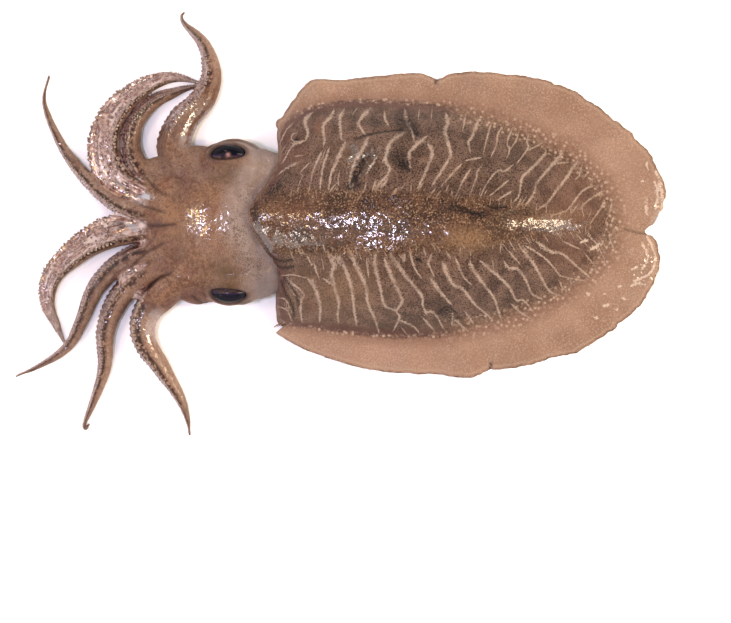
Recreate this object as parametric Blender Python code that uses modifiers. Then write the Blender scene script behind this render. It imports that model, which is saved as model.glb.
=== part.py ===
"""A whole raw cuttlefish lying belly down on a table, its eight arms spread.

Row frame: metres, +Z up, +X from the arms to the tail, +Y to the animal's right.
The origin is on the table, at the centre of the animal's footprint.
The tables below are in millimetres and are turned into metres where they are used.

Nodes: mantle (the body sac with its fin, one skin), head (with the arms, one piece
of flesh), eye_right and eye_left. The mantle is a sac with a free front rim, and the
neck sits in it without being fused to it.
"""

import math

import bmesh
import bpy
import numpy as np
from mathutils import Matrix, Vector

MM = 0.001
MERGE_DISTANCE = 0.01  # corners closer than this become one after a Boolean

# ---- Mantle and fin ----------------------------------------------------------------
BODY_CENTRE = (41.0, 2.0)
# The sac seen from above, anticlockwise from the tail. The front rim ends in a blunt
# lobe over the neck, with a shoulder on either side.
MANTLE_EDGE = (
    (117, 1), (112, 13), (103, 23), (86, 35), (69, 44.5), (56, 49.5), (38, 52.5), (17, 53.5),
    (-1, 52.5), (-15, 49), (-21.5, 44.5), (-25, 38.5), (-24.5, 30), (-27, 21.5), (-32.5, 13),
    (-37.5, 6), (-37, -1), (-31.5, -10.5), (-26, -19), (-25.5, -29), (-25.5, -37), (-23, -43),
    (-8, -45), (17, -48), (39, -48), (60, -44.5), (78, -39), (95, -30.5), (107, -20.5), (115, -10),
)
# The fin's outer margin. It stops at the two front shoulders, so the last few points
# only close the curve inside the sac.
FIN_EDGE = (
    (131.5, -3.2), (135.5, 0.5), (139, 8), (140, 15), (137.5, 22.5), (133.5, 30), (124.5, 39.5),
    (113, 48.7), (101, 56.7), (89, 61.5), (77, 63.5), (60, 65.2), (48, 64.5), (42, 62.2), (33, 64.8),
    (13, 63), (-2, 61.8), (-13.5, 60.8), (-18.5, 54), (-22, 47), (-10, 30), (-10, -30),
    (-27.5, -43.5), (-24, -49.5), (-13, -55), (-2, -59), (13, -63), (26, -64.3), (43, -65.2),
    (56, -66.3), (65, -63.2), (78, -61.8), (91, -58), (103, -55), (115, -47.5), (121, -42.5),
    (130, -34.5), (135, -26), (138, -17), (137, -9.5), (135, -5.6),
)
LIP_WIDTH = 2.0
LIP_THICKNESS = 3.4
LIP_HEIGHT = 25.5
LIP_HALF_WIDTH = 46.0  # of the arch that the front rim makes over the neck
LIP_ROUNDNESS = 1.3  # of that arch: the higher, the softer its ends
LIP_SETBACK = 9.0  # how far the rim's lower edge lies behind its upper edge
LIP_EDGE = 0.93  # height kept at the very edge of the rim, as a share
FRONT_STARTS, FRONT_FULL = 0.4, 0.8  # where the rim begins to rise and is up, as minus the angle's cosine
MOUTH_WIDENING = 3.0  # the rim's lower edge sets back over this much more than the arch
FIN_ROOT_HEIGHT = 5.2
FIN_ROOT_THICKNESS = 3.0
FIN_DROOP = 1.15  # 1 is a straight slope to the margin, more sags sooner
FIN_MARGIN_THICKNESS = 1.4
FIN_MARGIN_HEIGHT = 1.5
MARGIN_ROUNDNESS = 8
FIN_RIPPLE = 0.7
FIN_RIPPLES = 17
BACK_HEIGHT = 38.5  # top of the back, over the cuttlebone
BACK_PEAK_X = 22.0
BACK_FALL = 0.00075  # how fast the back drops away from its peak, per mm
BACK_FULLNESS = 3.4
BONE_RIDGE = 1.2
BONE_HALF_WIDTH = 24.0
BELLY_FLAT = 0.78  # share of the sac's radius that lies flat on the table
MANTLE_SEGMENTS = 92
MANTLE_RINGS = 24
SAC_SHARE = 0.75  # share of the rings on the sac, the rest being the fin's

# ---- Head --------------------------------------------------------------------------
# Ellipsoids that make up the head: centre and radii.
HEAD_LOBES = {
    "skull": ((-50, 0.5, 12.0), (25, 30, 13.0)),
    "bulge_right": ((-45.5, 23.3, 13.5), (16, 13, 12.5)),
    "bulge_left": ((-45.5, -22.8, 13.5), (16, 13, 12.5)),
    "neck": ((-30, 0.5, 12.5), (22, 30, 9.0)),
    "nape_right": ((-36, 20.5, 12.0), (13, 12, 9.5)),
    "nape_left": ((-36, -21.0, 12.0), (13, 12, 9.5)),
    "crown": ((-70, 0.0, 9.0), (17, 25, 10.0)),
    "cheek_right": ((-60, 22, 9.0), (13, 11.5, 9.0)),
    "cheek_left": ((-60, -22, 9.0), (14, 13, 9.0)),
    "web_right": ((-77, 20, 6.0), (9.5, 9, 6.0)),
    "web_left": ((-86, -24, 6.5), (9, 9, 6.0)),
}
HEAD_VOXEL = 0.6
HEAD_SMOOTHING = 26
ARM_SMOOTHING = 0.12  # share of that smoothing on the free arms
ARMS_FREE_X, ARMS_FREE_Y = -80, 36  # the arms are free ahead of the one and outside the other
ARMS_BLEND_X, ARMS_BLEND_Y = 12, 10
HEAD_TRIANGLES = 4300
NECK_CLEARANCE = 0.7

# ---- Arms --------------------------------------------------------------------------
# Pair 1 is nearest the back and pair 4 is the broad lowest pair. Each arm has its way
# over the table, its width at the root, the height of its root, how full it stays
# towards the tip, the share of its length over which it comes down to the table, and
# the turn of its sucker face: 0 faces the table, 90 the animal's left, 180 upwards.
ARMS = {
    "right_1": dict(
        way=(
            (-66, 1), (-78, 2), (-94, 7), (-107, 17),
            (-119, 32), (-127, 51), (-125, 64),
        ),
        width=11.0, root=15.0, fullness=1.15, drop=0.62, turn=88,
    ),
    "right_2": dict(
        way=(
            (-74, 9), (-85, 12), (-97, 20), (-101, 34),
            (-96.5, 47.5), (-86, 57.5), (-73, 62.7), (-60, 60.5),
        ),
        width=14.5, root=9.0, fullness=1.9, drop=0.3, turn=155,
    ),
    "right_3": dict(
        way=(
            (-72, 12), (-83, 18), (-90.3, 29), (-89.6, 41.5),
            (-81.5, 51.5), (-69.5, 57), (-59, 60),
        ),
        width=12.5, root=9.0, fullness=1.8, drop=0.3, turn=105,
    ),
    "right_4": dict(
        way=(
            (-66, 20), (-72, 32), (-68, 44), (-59, 54), (-55.5, 65),
            (-58.8, 77), (-66.5, 85.5), (-68, 89.2), (-66.6, 91.2),
        ),
        width=17.5, root=9.0, fullness=1.25, drop=0.35, turn=92,
    ),
    "left_1": dict(
        way=(
            (-76, -1), (-90, -2), (-103, -6), (-114, -13),
            (-123.5, -23), (-125.5, -34), (-122, -43), (-118, -52),
        ),
        width=13.5, root=10.0, fullness=1.7, drop=0.4, turn=-155,
    ),
    "left_2": dict(
        way=(
            (-70, -9), (-84, -12), (-96.3, -18), (-105.6, -28),
            (-111, -41), (-117, -52.5), (-128, -60.5), (-139.8, -66),
        ),
        width=11.8, root=12.0, fullness=1.3, drop=0.4, turn=-95,
    ),
    "left_3": dict(
        way=(
            (-70, -14), (-84, -22), (-95, -31.5), (-101, -46), (-101.5, -62),
            (-106, -76), (-110, -86.5), (-109, -88.5), (-107.5, -86),
        ),
        width=13.0, root=10.0, fullness=1.35, drop=0.35, turn=-98,
    ),
    "left_4": dict(
        way=(
            (-64, -19), (-75, -28), (-84, -38), (-85, -50),
            (-77.3, -62.5), (-69.2, -75), (-65.3, -85.5), (-64.5, -91.5),
        ),
        width=16.8, root=9.0, fullness=1.35, drop=0.35, turn=-92,
    ),
}
ARM_STATIONS = 30
ARM_SIDES = 16
ARM_TIP_RADIUS = 0.95
WIDTH_IN_RADII = 1.85  # an arm's flat side makes it look a little narrower than two radii
ARM_TAPER = 0.85
RESTING_HEIGHT = 0.82  # of the middle of an arm that lies on the table, in radii
SUCKER_FACE = 0.55  # how far below the arm's middle its flat sucker face lies, in radii
SUCKER_ROW = 0.6  # how far out from the face's middle a row of suckers stands, in radii
SUCKERS_PER_ROW = 6
SUCKER_FIRST, SUCKER_LAST = 0.25, 0.82  # along the arm, as shares of its length
SUCKER_STAGGER = 0.25  # of a step, each row its own way
SUCKER_RADIUS = 0.21  # in arm radii
SUCKER_HEIGHT = 2.4  # in sucker radii, half of it sunk in the arm
SUCKER_FLARE = 1.15
SUCKER_SIDES = 6
SUCKER_FLOOR = 0.05  # no sucker reaches lower than this

# ---- Eyes --------------------------------------------------------------------------
EYE_RADII = (7.8, 4.4, 5.5)
EYES = {
    "eye_right": dict(centre=(-47.0, 28.5, 20.1), tilt=-35),
    "eye_left": dict(centre=(-46.8, -29.0, 19.4), tilt=51),
}
EYE_CLEARANCE = 0.35

SKINS = {
    "mantle_skin": ((0.30, 0.17, 0.10, 1), 0.35),
    "head_skin": ((0.38, 0.22, 0.14, 1), 0.35),
    "eye": ((0.03, 0.03, 0.06, 1), 0.12),
}


# ---- Lines ---------------------------------------------------------------------------
def smooth_line(points, closed=False, steps=12):
    """A Catmull-Rom curve through the points, as a dense array."""
    points = np.array(points, float)
    before = points[-1] if closed else 2 * points[0] - points[1]
    after = points[:2] if closed else [2 * points[-1] - points[-2]]
    padded = np.vstack([[before], points, after])
    share = np.linspace(0, 1, steps, endpoint=False)[:, None]
    spans = [
        0.5 * (2 * b + (c - a) * share + (2 * a - 5 * b + 4 * c - d) * share**2
               + (3 * b - a - 3 * c + d) * share**3)
        for a, b, c, d in zip(padded, padded[1:], padded[2:], padded[3:])
    ]
    return np.vstack([*spans, padded[-2:-1]])


def evenly(line, count):
    """The line's points, spaced evenly along its length."""
    steps = np.linalg.norm(np.diff(line, axis=0), axis=1)
    along = np.concatenate([[0], np.cumsum(steps)])
    wanted = np.linspace(0, along[-1], count)
    return np.stack([np.interp(wanted, along, column) for column in line.T], axis=1)


def smoothstep(x):
    x = np.clip(x, 0, 1)
    return x * x * (3 - 2 * x)


# ---- Objects -------------------------------------------------------------------------
def clear_scene():
    for obj in list(bpy.data.objects):
        bpy.data.objects.remove(obj)


def make_collection(name):
    collection = bpy.data.collections.new(name)
    bpy.context.scene.collection.children.link(collection)
    return collection


def make_material(name):
    colour, roughness = SKINS[name]
    material = bpy.data.materials.new(name)
    material.use_nodes = True
    shader = material.node_tree.nodes["Principled BSDF"]
    shader.inputs["Base Color"].default_value = colour
    shader.inputs["Roughness"].default_value = roughness
    shader.inputs["Metallic"].default_value = 0.0
    return material


def make_object(name, bm, collection, material=None):
    mesh = bpy.data.meshes.new(name)
    bm.to_mesh(mesh)
    bm.free()
    mesh.shade_smooth()
    obj = bpy.data.objects.new(name, mesh)
    collection.objects.link(obj)
    if material:
        mesh.materials.append(material)
    return obj


def make_cutter(name, bm, collection):
    cutter = make_object(name, bm, collection)
    cutter.hide_render = True
    cutter.display_type = "WIRE"
    return cutter


def apply_modifiers(obj):
    """Replaces the object's mesh by its evaluated one."""
    graph = bpy.context.evaluated_depsgraph_get()
    mesh = bpy.data.meshes.new_from_object(obj.evaluated_get(graph))
    obj.modifiers.clear()
    obj.data = mesh


def merge_slivers(obj):
    bm = bmesh.new()
    bm.from_mesh(obj.data)
    bmesh.ops.remove_doubles(bm, verts=bm.verts, dist=MERGE_DISTANCE * MM)
    bmesh.ops.dissolve_degenerate(bm, edges=bm.edges, dist=MERGE_DISTANCE * MM)
    bm.to_mesh(obj.data)
    bm.free()


def add_boolean(obj, other, operation):
    modifier = obj.modifiers.new(other.name, "BOOLEAN")
    modifier.operation = operation
    modifier.solver = "MANIFOLD"
    modifier.object = other


def add_ellipsoid(bm, centre, radii, sides=24, turn=None):
    place = Matrix.Translation(Vector(centre) * MM) @ (turn or Matrix.Identity(4))
    size = Matrix.Diagonal((*(Vector(radii) * MM), 1))
    bmesh.ops.create_uvsphere(bm, u_segments=sides, v_segments=sides // 2, radius=1, matrix=place @ size)


# ---- Mantle --------------------------------------------------------------------------
def polar(points):
    """A closed outline as angles and radii about the body's centre, sorted by angle."""
    line = smooth_line(points, closed=True)[:-1] - np.array(BODY_CENTRE)
    angles = np.arctan2(line[:, 1], line[:, 0])
    order = np.argsort(angles)
    return angles[order], np.hypot(line[:, 0], line[:, 1])[order]


def radius_at(outline, angle):
    return np.interp(angle, *outline, period=2 * math.pi)


def mantle_point(angle, reach, upper, sac, fin):
    """A point of the mantle. reach runs from 0 in the middle to 1 at the fin's margin."""
    sac_radius = radius_at(sac, angle)
    margin = max(radius_at(fin, angle), sac_radius + LIP_WIDTH)
    across = sac_radius * math.sin(angle) / LIP_HALF_WIDTH
    front = smoothstep((-math.cos(angle) - FRONT_STARTS) / (FRONT_FULL - FRONT_STARTS))
    lift = max(1 - across**2, 0) ** LIP_ROUNDNESS * float(front)
    mouth = float(smoothstep(MOUTH_WIDENING * lift))  # 1 where the rim stands open around the neck
    root = FIN_ROOT_HEIGHT + (LIP_HEIGHT - FIN_ROOT_HEIGHT) * lift
    root_thickness = FIN_ROOT_THICKNESS + (LIP_THICKNESS - FIN_ROOT_THICKNESS) * lift
    if not upper:
        sac_radius -= LIP_SETBACK * mouth
    share = min(reach / SAC_SHARE, 1)
    out = max(reach - SAC_SHARE, 0) / (1 - SAC_SHARE)
    radius = share * sac_radius + out * (margin - sac_radius)
    x = BODY_CENTRE[0] + radius * math.cos(angle)
    y = BODY_CENTRE[1] + radius * math.sin(angle)
    sole = (FIN_ROOT_HEIGHT - FIN_ROOT_THICKNESS / 2) * (1 - mouth)
    if out > 0:
        ripple = FIN_RIPPLE * math.sin(FIN_RIPPLES * angle) * (1 - lift)
        end = FIN_MARGIN_HEIGHT + ripple + (root - FIN_ROOT_HEIGHT) * LIP_EDGE
        middle = end + (root - end) * (1 - out) ** FIN_DROOP
        thickness = root_thickness + (FIN_MARGIN_THICKNESS - root_thickness) * out
        thickness *= math.sqrt(max(1 - out**MARGIN_ROUNDNESS, 0))
        if upper:
            return x, y, middle + thickness / 2
        return x, y, middle - thickness / 2 - (root - root_thickness / 2 - sole) * (1 - out)
    if upper:
        back = BACK_HEIGHT - BACK_FALL * (x - BACK_PEAK_X) ** 2
        low = root + root_thickness / 2
        ridge = BONE_RIDGE * math.exp(-(((y - BODY_CENTRE[1]) / BONE_HALF_WIDTH) ** 4)) * (1 - share**4)
        return x, y, low + (back - low) * (1 - share**BACK_FULLNESS) + ridge
    rise = max(share - BELLY_FLAT, 0) / (1 - BELLY_FLAT)
    return x, y, sole * rise**2


def make_mantle(collection, material):
    """A UV sphere pulled to shape: its upper half is the back, its lower half the belly."""
    sac, fin = polar(MANTLE_EDGE), polar(FIN_EDGE)
    # Meridians are spaced evenly along the fin's margin, not by angle.
    angles = np.linspace(-math.pi, math.pi, 721)
    reach = np.maximum(radius_at(fin, angles), radius_at(sac, angles))
    margin = np.stack([np.cos(angles) * reach, np.sin(angles) * reach], axis=1)
    along = np.concatenate([[0], np.cumsum(np.linalg.norm(np.diff(margin, axis=0), axis=1))])
    turn = along / along[-1] * 2 * math.pi - math.pi
    bm = bmesh.new()
    bmesh.ops.create_uvsphere(bm, u_segments=MANTLE_SEGMENTS, v_segments=MANTLE_RINGS, radius=1)
    for vertex in bm.verts:
        angle = float(np.interp(math.atan2(vertex.co.y, vertex.co.x), turn, angles))
        from_top = math.acos(max(-1, min(1, vertex.co.z))) / (math.pi / 2)
        upper = from_top <= 1.0001
        vertex.co = Vector(mantle_point(angle, from_top if upper else 2 - from_top, upper, sac, fin)) * MM
    return make_object("mantle", bm, collection, material)


# ---- Arms ----------------------------------------------------------------------------
def arm_stations(arm):
    """Centre, radius and axes (side, sucker direction, way ahead) at stations along an arm, in mm."""
    way = evenly(smooth_line(arm["way"]), ARM_STATIONS)
    ahead = np.gradient(way, axis=0)
    for number, (point, direction) in enumerate(zip(way, ahead)):
        share = number / (ARM_STATIONS - 1)
        full = max(1 - share ** arm["fullness"], 0) ** ARM_TAPER
        radius = max(arm["width"] / WIDTH_IN_RADII * full, ARM_TIP_RADIUS)
        down = smoothstep(share / arm["drop"])
        height = arm["root"] * (1 - down) + radius * RESTING_HEIGHT * down
        forward = Vector((*direction, 0)).normalized()
        right = forward.cross(Vector((0, 0, 1)))
        turn = Matrix.Rotation(math.radians(arm["turn"]), 3, forward)
        yield Vector((*point, height)), radius, turn @ right, turn @ Vector((0, 0, -1)), forward


def station_matrix(centre, radius, side, suckers, forward):
    axes = Matrix((side * radius, -suckers * radius, forward * radius)).transposed()
    return Matrix.Translation(centre * MM) @ (axes * MM).to_4x4()


def add_arm(bm, arm):
    """Sweeps a ring with one flat side, the sucker face, along the arm."""
    places = [station_matrix(*station) for station in arm_stations(arm)]
    ring = bmesh.ops.create_circle(bm, segments=ARM_SIDES, radius=1)["verts"]
    for vertex in ring:
        vertex.co.y = max(vertex.co.y, -SUCKER_FACE)
    start = bm.faces.new(ring)
    bmesh.ops.transform(bm, matrix=places[0], verts=ring)
    face = start
    for before, place in zip(places, places[1:]):
        made = bmesh.ops.extrude_face_region(bm, geom=[face])["geom"]
        face = next(item for item in made if isinstance(item, bmesh.types.BMFace))
        bmesh.ops.transform(bm, matrix=place @ before.inverted(), verts=face.verts[:])


def add_suckers(bm, arm):
    """Two rows of knobs along the edges of the arm's sucker face."""
    stations = list(arm_stations(arm))
    for row in (-1, 1):
        for number in range(SUCKERS_PER_ROW):
            step = (number + SUCKER_STAGGER * row) / (SUCKERS_PER_ROW - 1)
            share = SUCKER_FIRST + (SUCKER_LAST - SUCKER_FIRST) * step
            centre, radius, side, suckers, _ = stations[round(share * (ARM_STATIONS - 1))]
            place = centre + side * row * SUCKER_ROW * radius + suckers * SUCKER_FACE * radius
            turn = suckers.to_track_quat("Z", "Y").to_matrix().to_4x4()
            size = radius * SUCKER_RADIUS * MM
            bmesh.ops.create_cone(
                bm, cap_ends=True, segments=SUCKER_SIDES, radius1=size * SUCKER_FLARE, radius2=size,
                depth=size * SUCKER_HEIGHT, matrix=Matrix.Translation(place * MM) @ turn,
            )


# ---- Head ----------------------------------------------------------------------------
def rest_on_table(obj):
    for vertex in obj.data.vertices:
        vertex.co.z = max(vertex.co.z, 0)


def make_head(collection, material):
    """Lobes and arms melted into one skin, then thinned to few faces."""
    bm = bmesh.new()
    for centre, radii in HEAD_LOBES.values():
        add_ellipsoid(bm, centre, radii)
    for arm in ARMS.values():
        add_arm(bm, arm)
    bmesh.ops.recalc_face_normals(bm, faces=bm.faces)
    head = make_object("head", bm, collection, material)
    melt = head.modifiers.new("melt", "REMESH")
    melt.mode = "VOXEL"
    melt.voxel_size = HEAD_VOXEL * MM
    apply_modifiers(head)

    # The flesh between the arms is smooth, while the thin tips must not shrink away.
    softness = head.vertex_groups.new(name="softness")
    for vertex in head.data.vertices:
        ahead = (ARMS_FREE_X - vertex.co.x / MM) / ARMS_BLEND_X
        aside = max(abs(vertex.co.y) / MM - ARMS_FREE_Y, 0) / ARMS_BLEND_Y
        softness.add([vertex.index], float(1 - (1 - ARM_SMOOTHING) * smoothstep(ahead + aside)), "REPLACE")
    soften = head.modifiers.new("soften", "SMOOTH")
    soften.factor = 0.5
    soften.iterations = HEAD_SMOOTHING
    soften.vertex_group = "softness"
    apply_modifiers(head)
    rest_on_table(head)
    thin = head.modifiers.new("thin", "DECIMATE")
    thin.ratio = HEAD_TRIANGLES / (2 * len(head.data.polygons))
    apply_modifiers(head)
    rest_on_table(head)
    return head


def fuse_suckers(head, collection):
    bm = bmesh.new()
    for arm in ARMS.values():
        add_suckers(bm, arm)
    for vertex in bm.verts:
        vertex.co.z = max(vertex.co.z, SUCKER_FLOOR * MM)
    suckers = make_cutter("suckers", bm, collection)
    add_boolean(head, suckers, "UNION")
    apply_modifiers(head)
    merge_slivers(head)
    bpy.data.objects.remove(suckers)


def seat_neck(mantle, head, collection):
    """Opens the mantle's front so that the neck sits in it with a little room all round."""
    bm = bmesh.new()
    bm.from_mesh(head.data)
    bm.normal_update()
    for vertex in bm.verts:
        vertex.co += vertex.normal * NECK_CLEARANCE * MM
    seat = make_cutter("neck_seat", bm, collection)
    add_boolean(mantle, seat, "DIFFERENCE")
    apply_modifiers(mantle)
    merge_slivers(mantle)


def make_eyes(head, collection, cutters, material):
    for name, eye in EYES.items():
        turn = Matrix.Rotation(math.radians(eye["tilt"]), 4, "X")
        socket = bmesh.new()
        add_ellipsoid(socket, eye["centre"], Vector(EYE_RADII) + Vector((EYE_CLEARANCE,) * 3), 20, turn)
        add_boolean(head, make_cutter(name + "_socket", socket, cutters), "DIFFERENCE")
        globe = bmesh.new()
        add_ellipsoid(globe, eye["centre"], EYE_RADII, 20, turn)
        make_object(name, globe, collection, material)
    apply_modifiers(head)


def main():
    clear_scene()
    animal, cutters = make_collection("cuttlefish"), make_collection("cutters")
    skins = {name: make_material(name) for name in SKINS}
    mantle = make_mantle(animal, skins["mantle_skin"])
    head = make_head(animal, skins["head_skin"])
    seat_neck(mantle, head, cutters)
    fuse_suckers(head, cutters)
    make_eyes(head, animal, cutters, skins["eye"])


main()
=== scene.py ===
"""A whole raw cuttlefish lying belly down: wet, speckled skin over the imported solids.

Tables are in millimetres, in the frame's own axes: +X towards the tail, +Y to the
animal's right, +Z up from the table.
"""

import math
import random

import bmesh
import bpy
import numpy as np
from mathutils import Matrix, Vector, kdtree, noise


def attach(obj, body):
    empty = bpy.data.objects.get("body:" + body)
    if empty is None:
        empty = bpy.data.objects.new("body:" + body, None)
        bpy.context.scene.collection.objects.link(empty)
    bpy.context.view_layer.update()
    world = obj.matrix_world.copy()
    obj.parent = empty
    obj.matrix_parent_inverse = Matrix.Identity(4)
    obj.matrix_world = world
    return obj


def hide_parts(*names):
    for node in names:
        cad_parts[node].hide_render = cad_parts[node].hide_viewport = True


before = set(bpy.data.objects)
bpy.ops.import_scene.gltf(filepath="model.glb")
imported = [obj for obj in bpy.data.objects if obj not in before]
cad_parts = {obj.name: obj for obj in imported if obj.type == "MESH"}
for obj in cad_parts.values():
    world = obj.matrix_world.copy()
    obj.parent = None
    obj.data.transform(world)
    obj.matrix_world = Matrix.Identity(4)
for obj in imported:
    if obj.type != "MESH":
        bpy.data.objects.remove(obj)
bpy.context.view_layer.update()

MM = 0.001

# ---- Mantle and fin ------------------------------------------------------------------
BODY_CENTRE = (41.0, 2.0)
MANTLE_EDGE = (
    (117, 1), (112, 13), (103, 23), (86, 35), (69, 44.5), (56, 49.5), (38, 52.5), (17, 53.5),
    (-1, 52.5), (-15, 49), (-21.5, 44.5), (-25, 38.5), (-24.5, 30), (-27, 21.5), (-32.5, 13),
    (-37.5, 6), (-37, -1), (-31.5, -10.5), (-26, -19), (-25.5, -29), (-25.5, -37), (-23, -43),
    (-8, -45), (17, -48), (39, -48), (60, -44.5), (78, -39), (95, -30.5), (107, -20.5), (115, -10),
)
FIN_EDGE = (
    (131.5, -3.2), (135.5, 0.5), (139, 8), (140, 15), (137.5, 22.5), (133.5, 30), (124.5, 39.5),
    (113, 48.7), (101, 56.7), (89, 61.5), (77, 63.5), (60, 65.2), (48, 64.5), (42, 62.2), (33, 64.8),
    (13, 63), (-2, 61.8), (-12.5, 61.4), (-19.3, 54), (-24, 46.8), (-26.8, 40.8), (-12, 25), (-10, -30),
    (-27.5, -43.5), (-24, -49.5), (-13, -55), (-2, -59), (13, -63), (26, -64.3), (43, -65.2),
    (56, -66.3), (65, -63.2), (78, -61.8), (91, -58), (103, -55), (115, -47.5), (121, -42.5),
    (130, -34.5), (135, -26), (138, -17), (137, -9.5), (135, -5.6),
)
LIP_WIDTH = 2.0
LIP_THICKNESS = 3.4
LIP_HEIGHT = 25.5
LIP_HALF_WIDTH = 46.0
LIP_ROUNDNESS = 1.3
LIP_SETBACK = 9.0
LIP_EDGE = 0.93
FRONT_STARTS, FRONT_FULL = 0.4, 0.8
MOUTH_WIDENING = 3.0
FIN_ROOT_HEIGHT = 5.2
FIN_ROOT_THICKNESS = 3.0
FIN_DROOP = 1.15
FIN_MARGIN_THICKNESS = 1.4
FIN_MARGIN_HEIGHT = 1.5
MARGIN_ROUNDNESS = 8
FIN_RIPPLE = 0.7
FIN_RIPPLES = 17
BACK_HEIGHT = 38.5
BACK_PEAK_X = 22.0
BACK_FALL = 0.00075
BACK_FULLNESS = 3.4
BONE_RIDGE = 1.2
BONE_HALF_WIDTH = 24.0
BELLY_FLAT = 0.78
SAC_SHARE = 0.75
MERIDIANS = 640
BACK_RINGS, BELLY_RINGS = 126, 24
BAND_FLECKS = 46  # short pale dashes on each side of the back's dark band

# Pale zebra marks, each a width and the line that it follows from the fin inwards.
BROAD, MIDDLE, FINE = 1.9, 1.25, 0.75
RIGHT_MARKS = (
    (FINE, (-20, 42.5), (-22.7, 39.7), (-24.6, 35.5), (-25.5, 33.5)),
    (FINE, (-23, 33), (-24.6, 30.4)),
    (FINE, (-17, 34.8), (-19.4, 34.8), (-20.5, 36.2), (-19.9, 37.8), (-18.6, 38.4)),
    (MIDDLE, (-14.5, 35), (-18.6, 33.7), (-21, 31.5), (-22.7, 28.2), (-24, 26)),
    (BROAD, (-12, 46.9), (-14.2, 44.7), (-14.5, 41.9), (-13.4, 38.6), (-14.2, 35.3)),
    (MIDDLE, (-18.3, 28.3), (-16.1, 28.6)),
    (MIDDLE, (-17.2, 25.7), (-20.2, 24.4), (-23.5, 22.4), (-25.7, 20.8)),
    (FINE, (-12.8, 25.2), (-16.4, 21.3), (-15.5, 20), (-16.1, 18.3), (-17.5, 15)),
    (BROAD, (-2.6, 47.7), (-3.7, 45.2), (-6.5, 41.9), (-6.8, 38.6), (-6.2, 35.3), (-6.5, 33.1)),
    (MIDDLE, (-7.6, 29.9), (-9.2, 26.6), (-10.6, 23.3), (-11.4, 20.5), (-12, 17.8)),
    (MIDDLE, (-4.3, 31), (-6.5, 24.9), (-7.3, 21.1), (-8.2, 14.5)),
    (BROAD, (1.7, 48), (0.4, 45.2), (0.4, 41.4), (0.9, 36.2)),
    (BROAD, (2.3, 33.7), (-0.4, 27.7), (-1.8, 24.4), (-3.4, 20.5), (-4.5, 14.5)),
    (FINE, (0.1, 21.1), (-0.4, 18.3), (-0.2, 16.4)),
    (BROAD, (12.7, 48.5), (8.6, 43.6), (8.6, 40.8), (11.1, 37.5)),
    (BROAD, (12.2, 35.6), (10.5, 32.1), (8.4, 28.2), (6.4, 24.9), (4.5, 17.8), (4.4, 15.6)),
    (MIDDLE, (15.7, 27.1), (12.2, 21.6)),
    (BROAD, (27.5, 38.1), (24.3, 36.2), (21.5, 33.1), (19.6, 26.5), (21.5, 22.2), (17.1, 16.1), (15.7, 13.4)),
    (BROAD, (28.1, 48), (28.6, 44.1), (30.6, 40.3), (31.7, 35.3)),
    (BROAD, (36.6, 36.2), (30.8, 30.9), (29.7, 28.2), (30.3, 23.2)),
    (BROAD, (38, 33.1), (39.3, 30.9), (39.1, 27.1), (36.3, 20.5), (33.6, 14.5)),
    (BROAD, (45.7, 46.3), (46.2, 42.5), (45.1, 38.6), (47, 31), (47, 27.7), (42.9, 21), (39.9, 16.1)),
    (MIDDLE, (51.7, 24.4), (48.4, 21), (43.7, 15.6)),
    (FINE, (34.1, 48), (33.8, 44.7)),
    (FINE, (39.6, 48), (39.3, 44.7)),
    (FINE, (7, 48.2), (6.1, 46.9)),
    (MIDDLE, (19.3, 46.9), (19.6, 44.1), (20.7, 41.9)),
    (MIDDLE, (54, 45.8), (52.8, 40.1)),
    (BROAD, (59.4, 43.9), (56.5, 36.3), (55, 34.4), (55.6, 30.6)),
    (MIDDLE, (64.8, 42), (62.2, 33.1), (61.6, 30)),
    (MIDDLE, (69.5, 40.7), (67.6, 37.6), (67, 33.1), (64.8, 28.4)),
    (MIDDLE, (74.2, 40.7), (71.7, 34.4), (72.7, 31.2), (71.4, 27.5)),
    (MIDDLE, (76.8, 38.8), (75.5, 35), (72.7, 31)),
    (MIDDLE, (81.2, 37.6), (80.2, 34.4), (80.6, 31.9), (76.1, 25.6)),
    (MIDDLE, (86.9, 34.4), (83.7, 32.5), (80.9, 30.9)),
    (BROAD, (88.5, 31.2), (87.5, 28.7), (80.6, 21.8), (77.7, 18.6), (76.5, 11.7), (74.2, 8.8)),
    (BROAD, (95.7, 30), (91.6, 25.6), (85.6, 18.6), (83.7, 16.1), (82.8, 12.3), (79.3, 7.3)),
    (MIDDLE, (98.2, 26.2), (94.5, 25.6), (91.9, 24.9)),
    (BROAD, (102, 26.2), (99.5, 23), (97.6, 19.9), (92.5, 13.6), (88.8, 8.5), (85.3, 6)),
    (MIDDLE, (103.9, 24.3), (103, 20.5), (101.4, 18.9)),
    (MIDDLE, (106.5, 21.8), (105.2, 19.9)),
    (MIDDLE, (109.3, 16.1), (105.8, 14.8), (102.7, 12.3), (97.9, 6), (95.1, 4.4), (90, 2.8)),
    (MIDDLE, (112.8, 13.6), (109.6, 11.7), (105.8, 9.1), (103.9, 6.6), (104.2, 2.8)),
    (MIDDLE, (114, 9.8), (111.5, 5.4), (107.7, 0.3), (107.4, -2.2)),
    (MIDDLE, (116.9, 8.5), (115.9, 4.7), (114.7, 1.6)),
    (MIDDLE, (60, 27.5), (54, 26.2)),
    (MIDDLE, (55.6, 22.4), (52.8, 18), (49, 9.8)),
    (MIDDLE, (60.3, 23.7), (58.5, 21.1), (58.1, 18.6), (55.3, 11)),
    (MIDDLE, (73.6, 24.3), (70.5, 21.8), (67.3, 21.8), (62.9, 16.7), (60, 11)),
    (MIDDLE, (71.7, 17.7), (64.1, 11.4)),
    (MIDDLE, (73.3, 13.2), (67.3, 9.5)),
)
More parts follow.
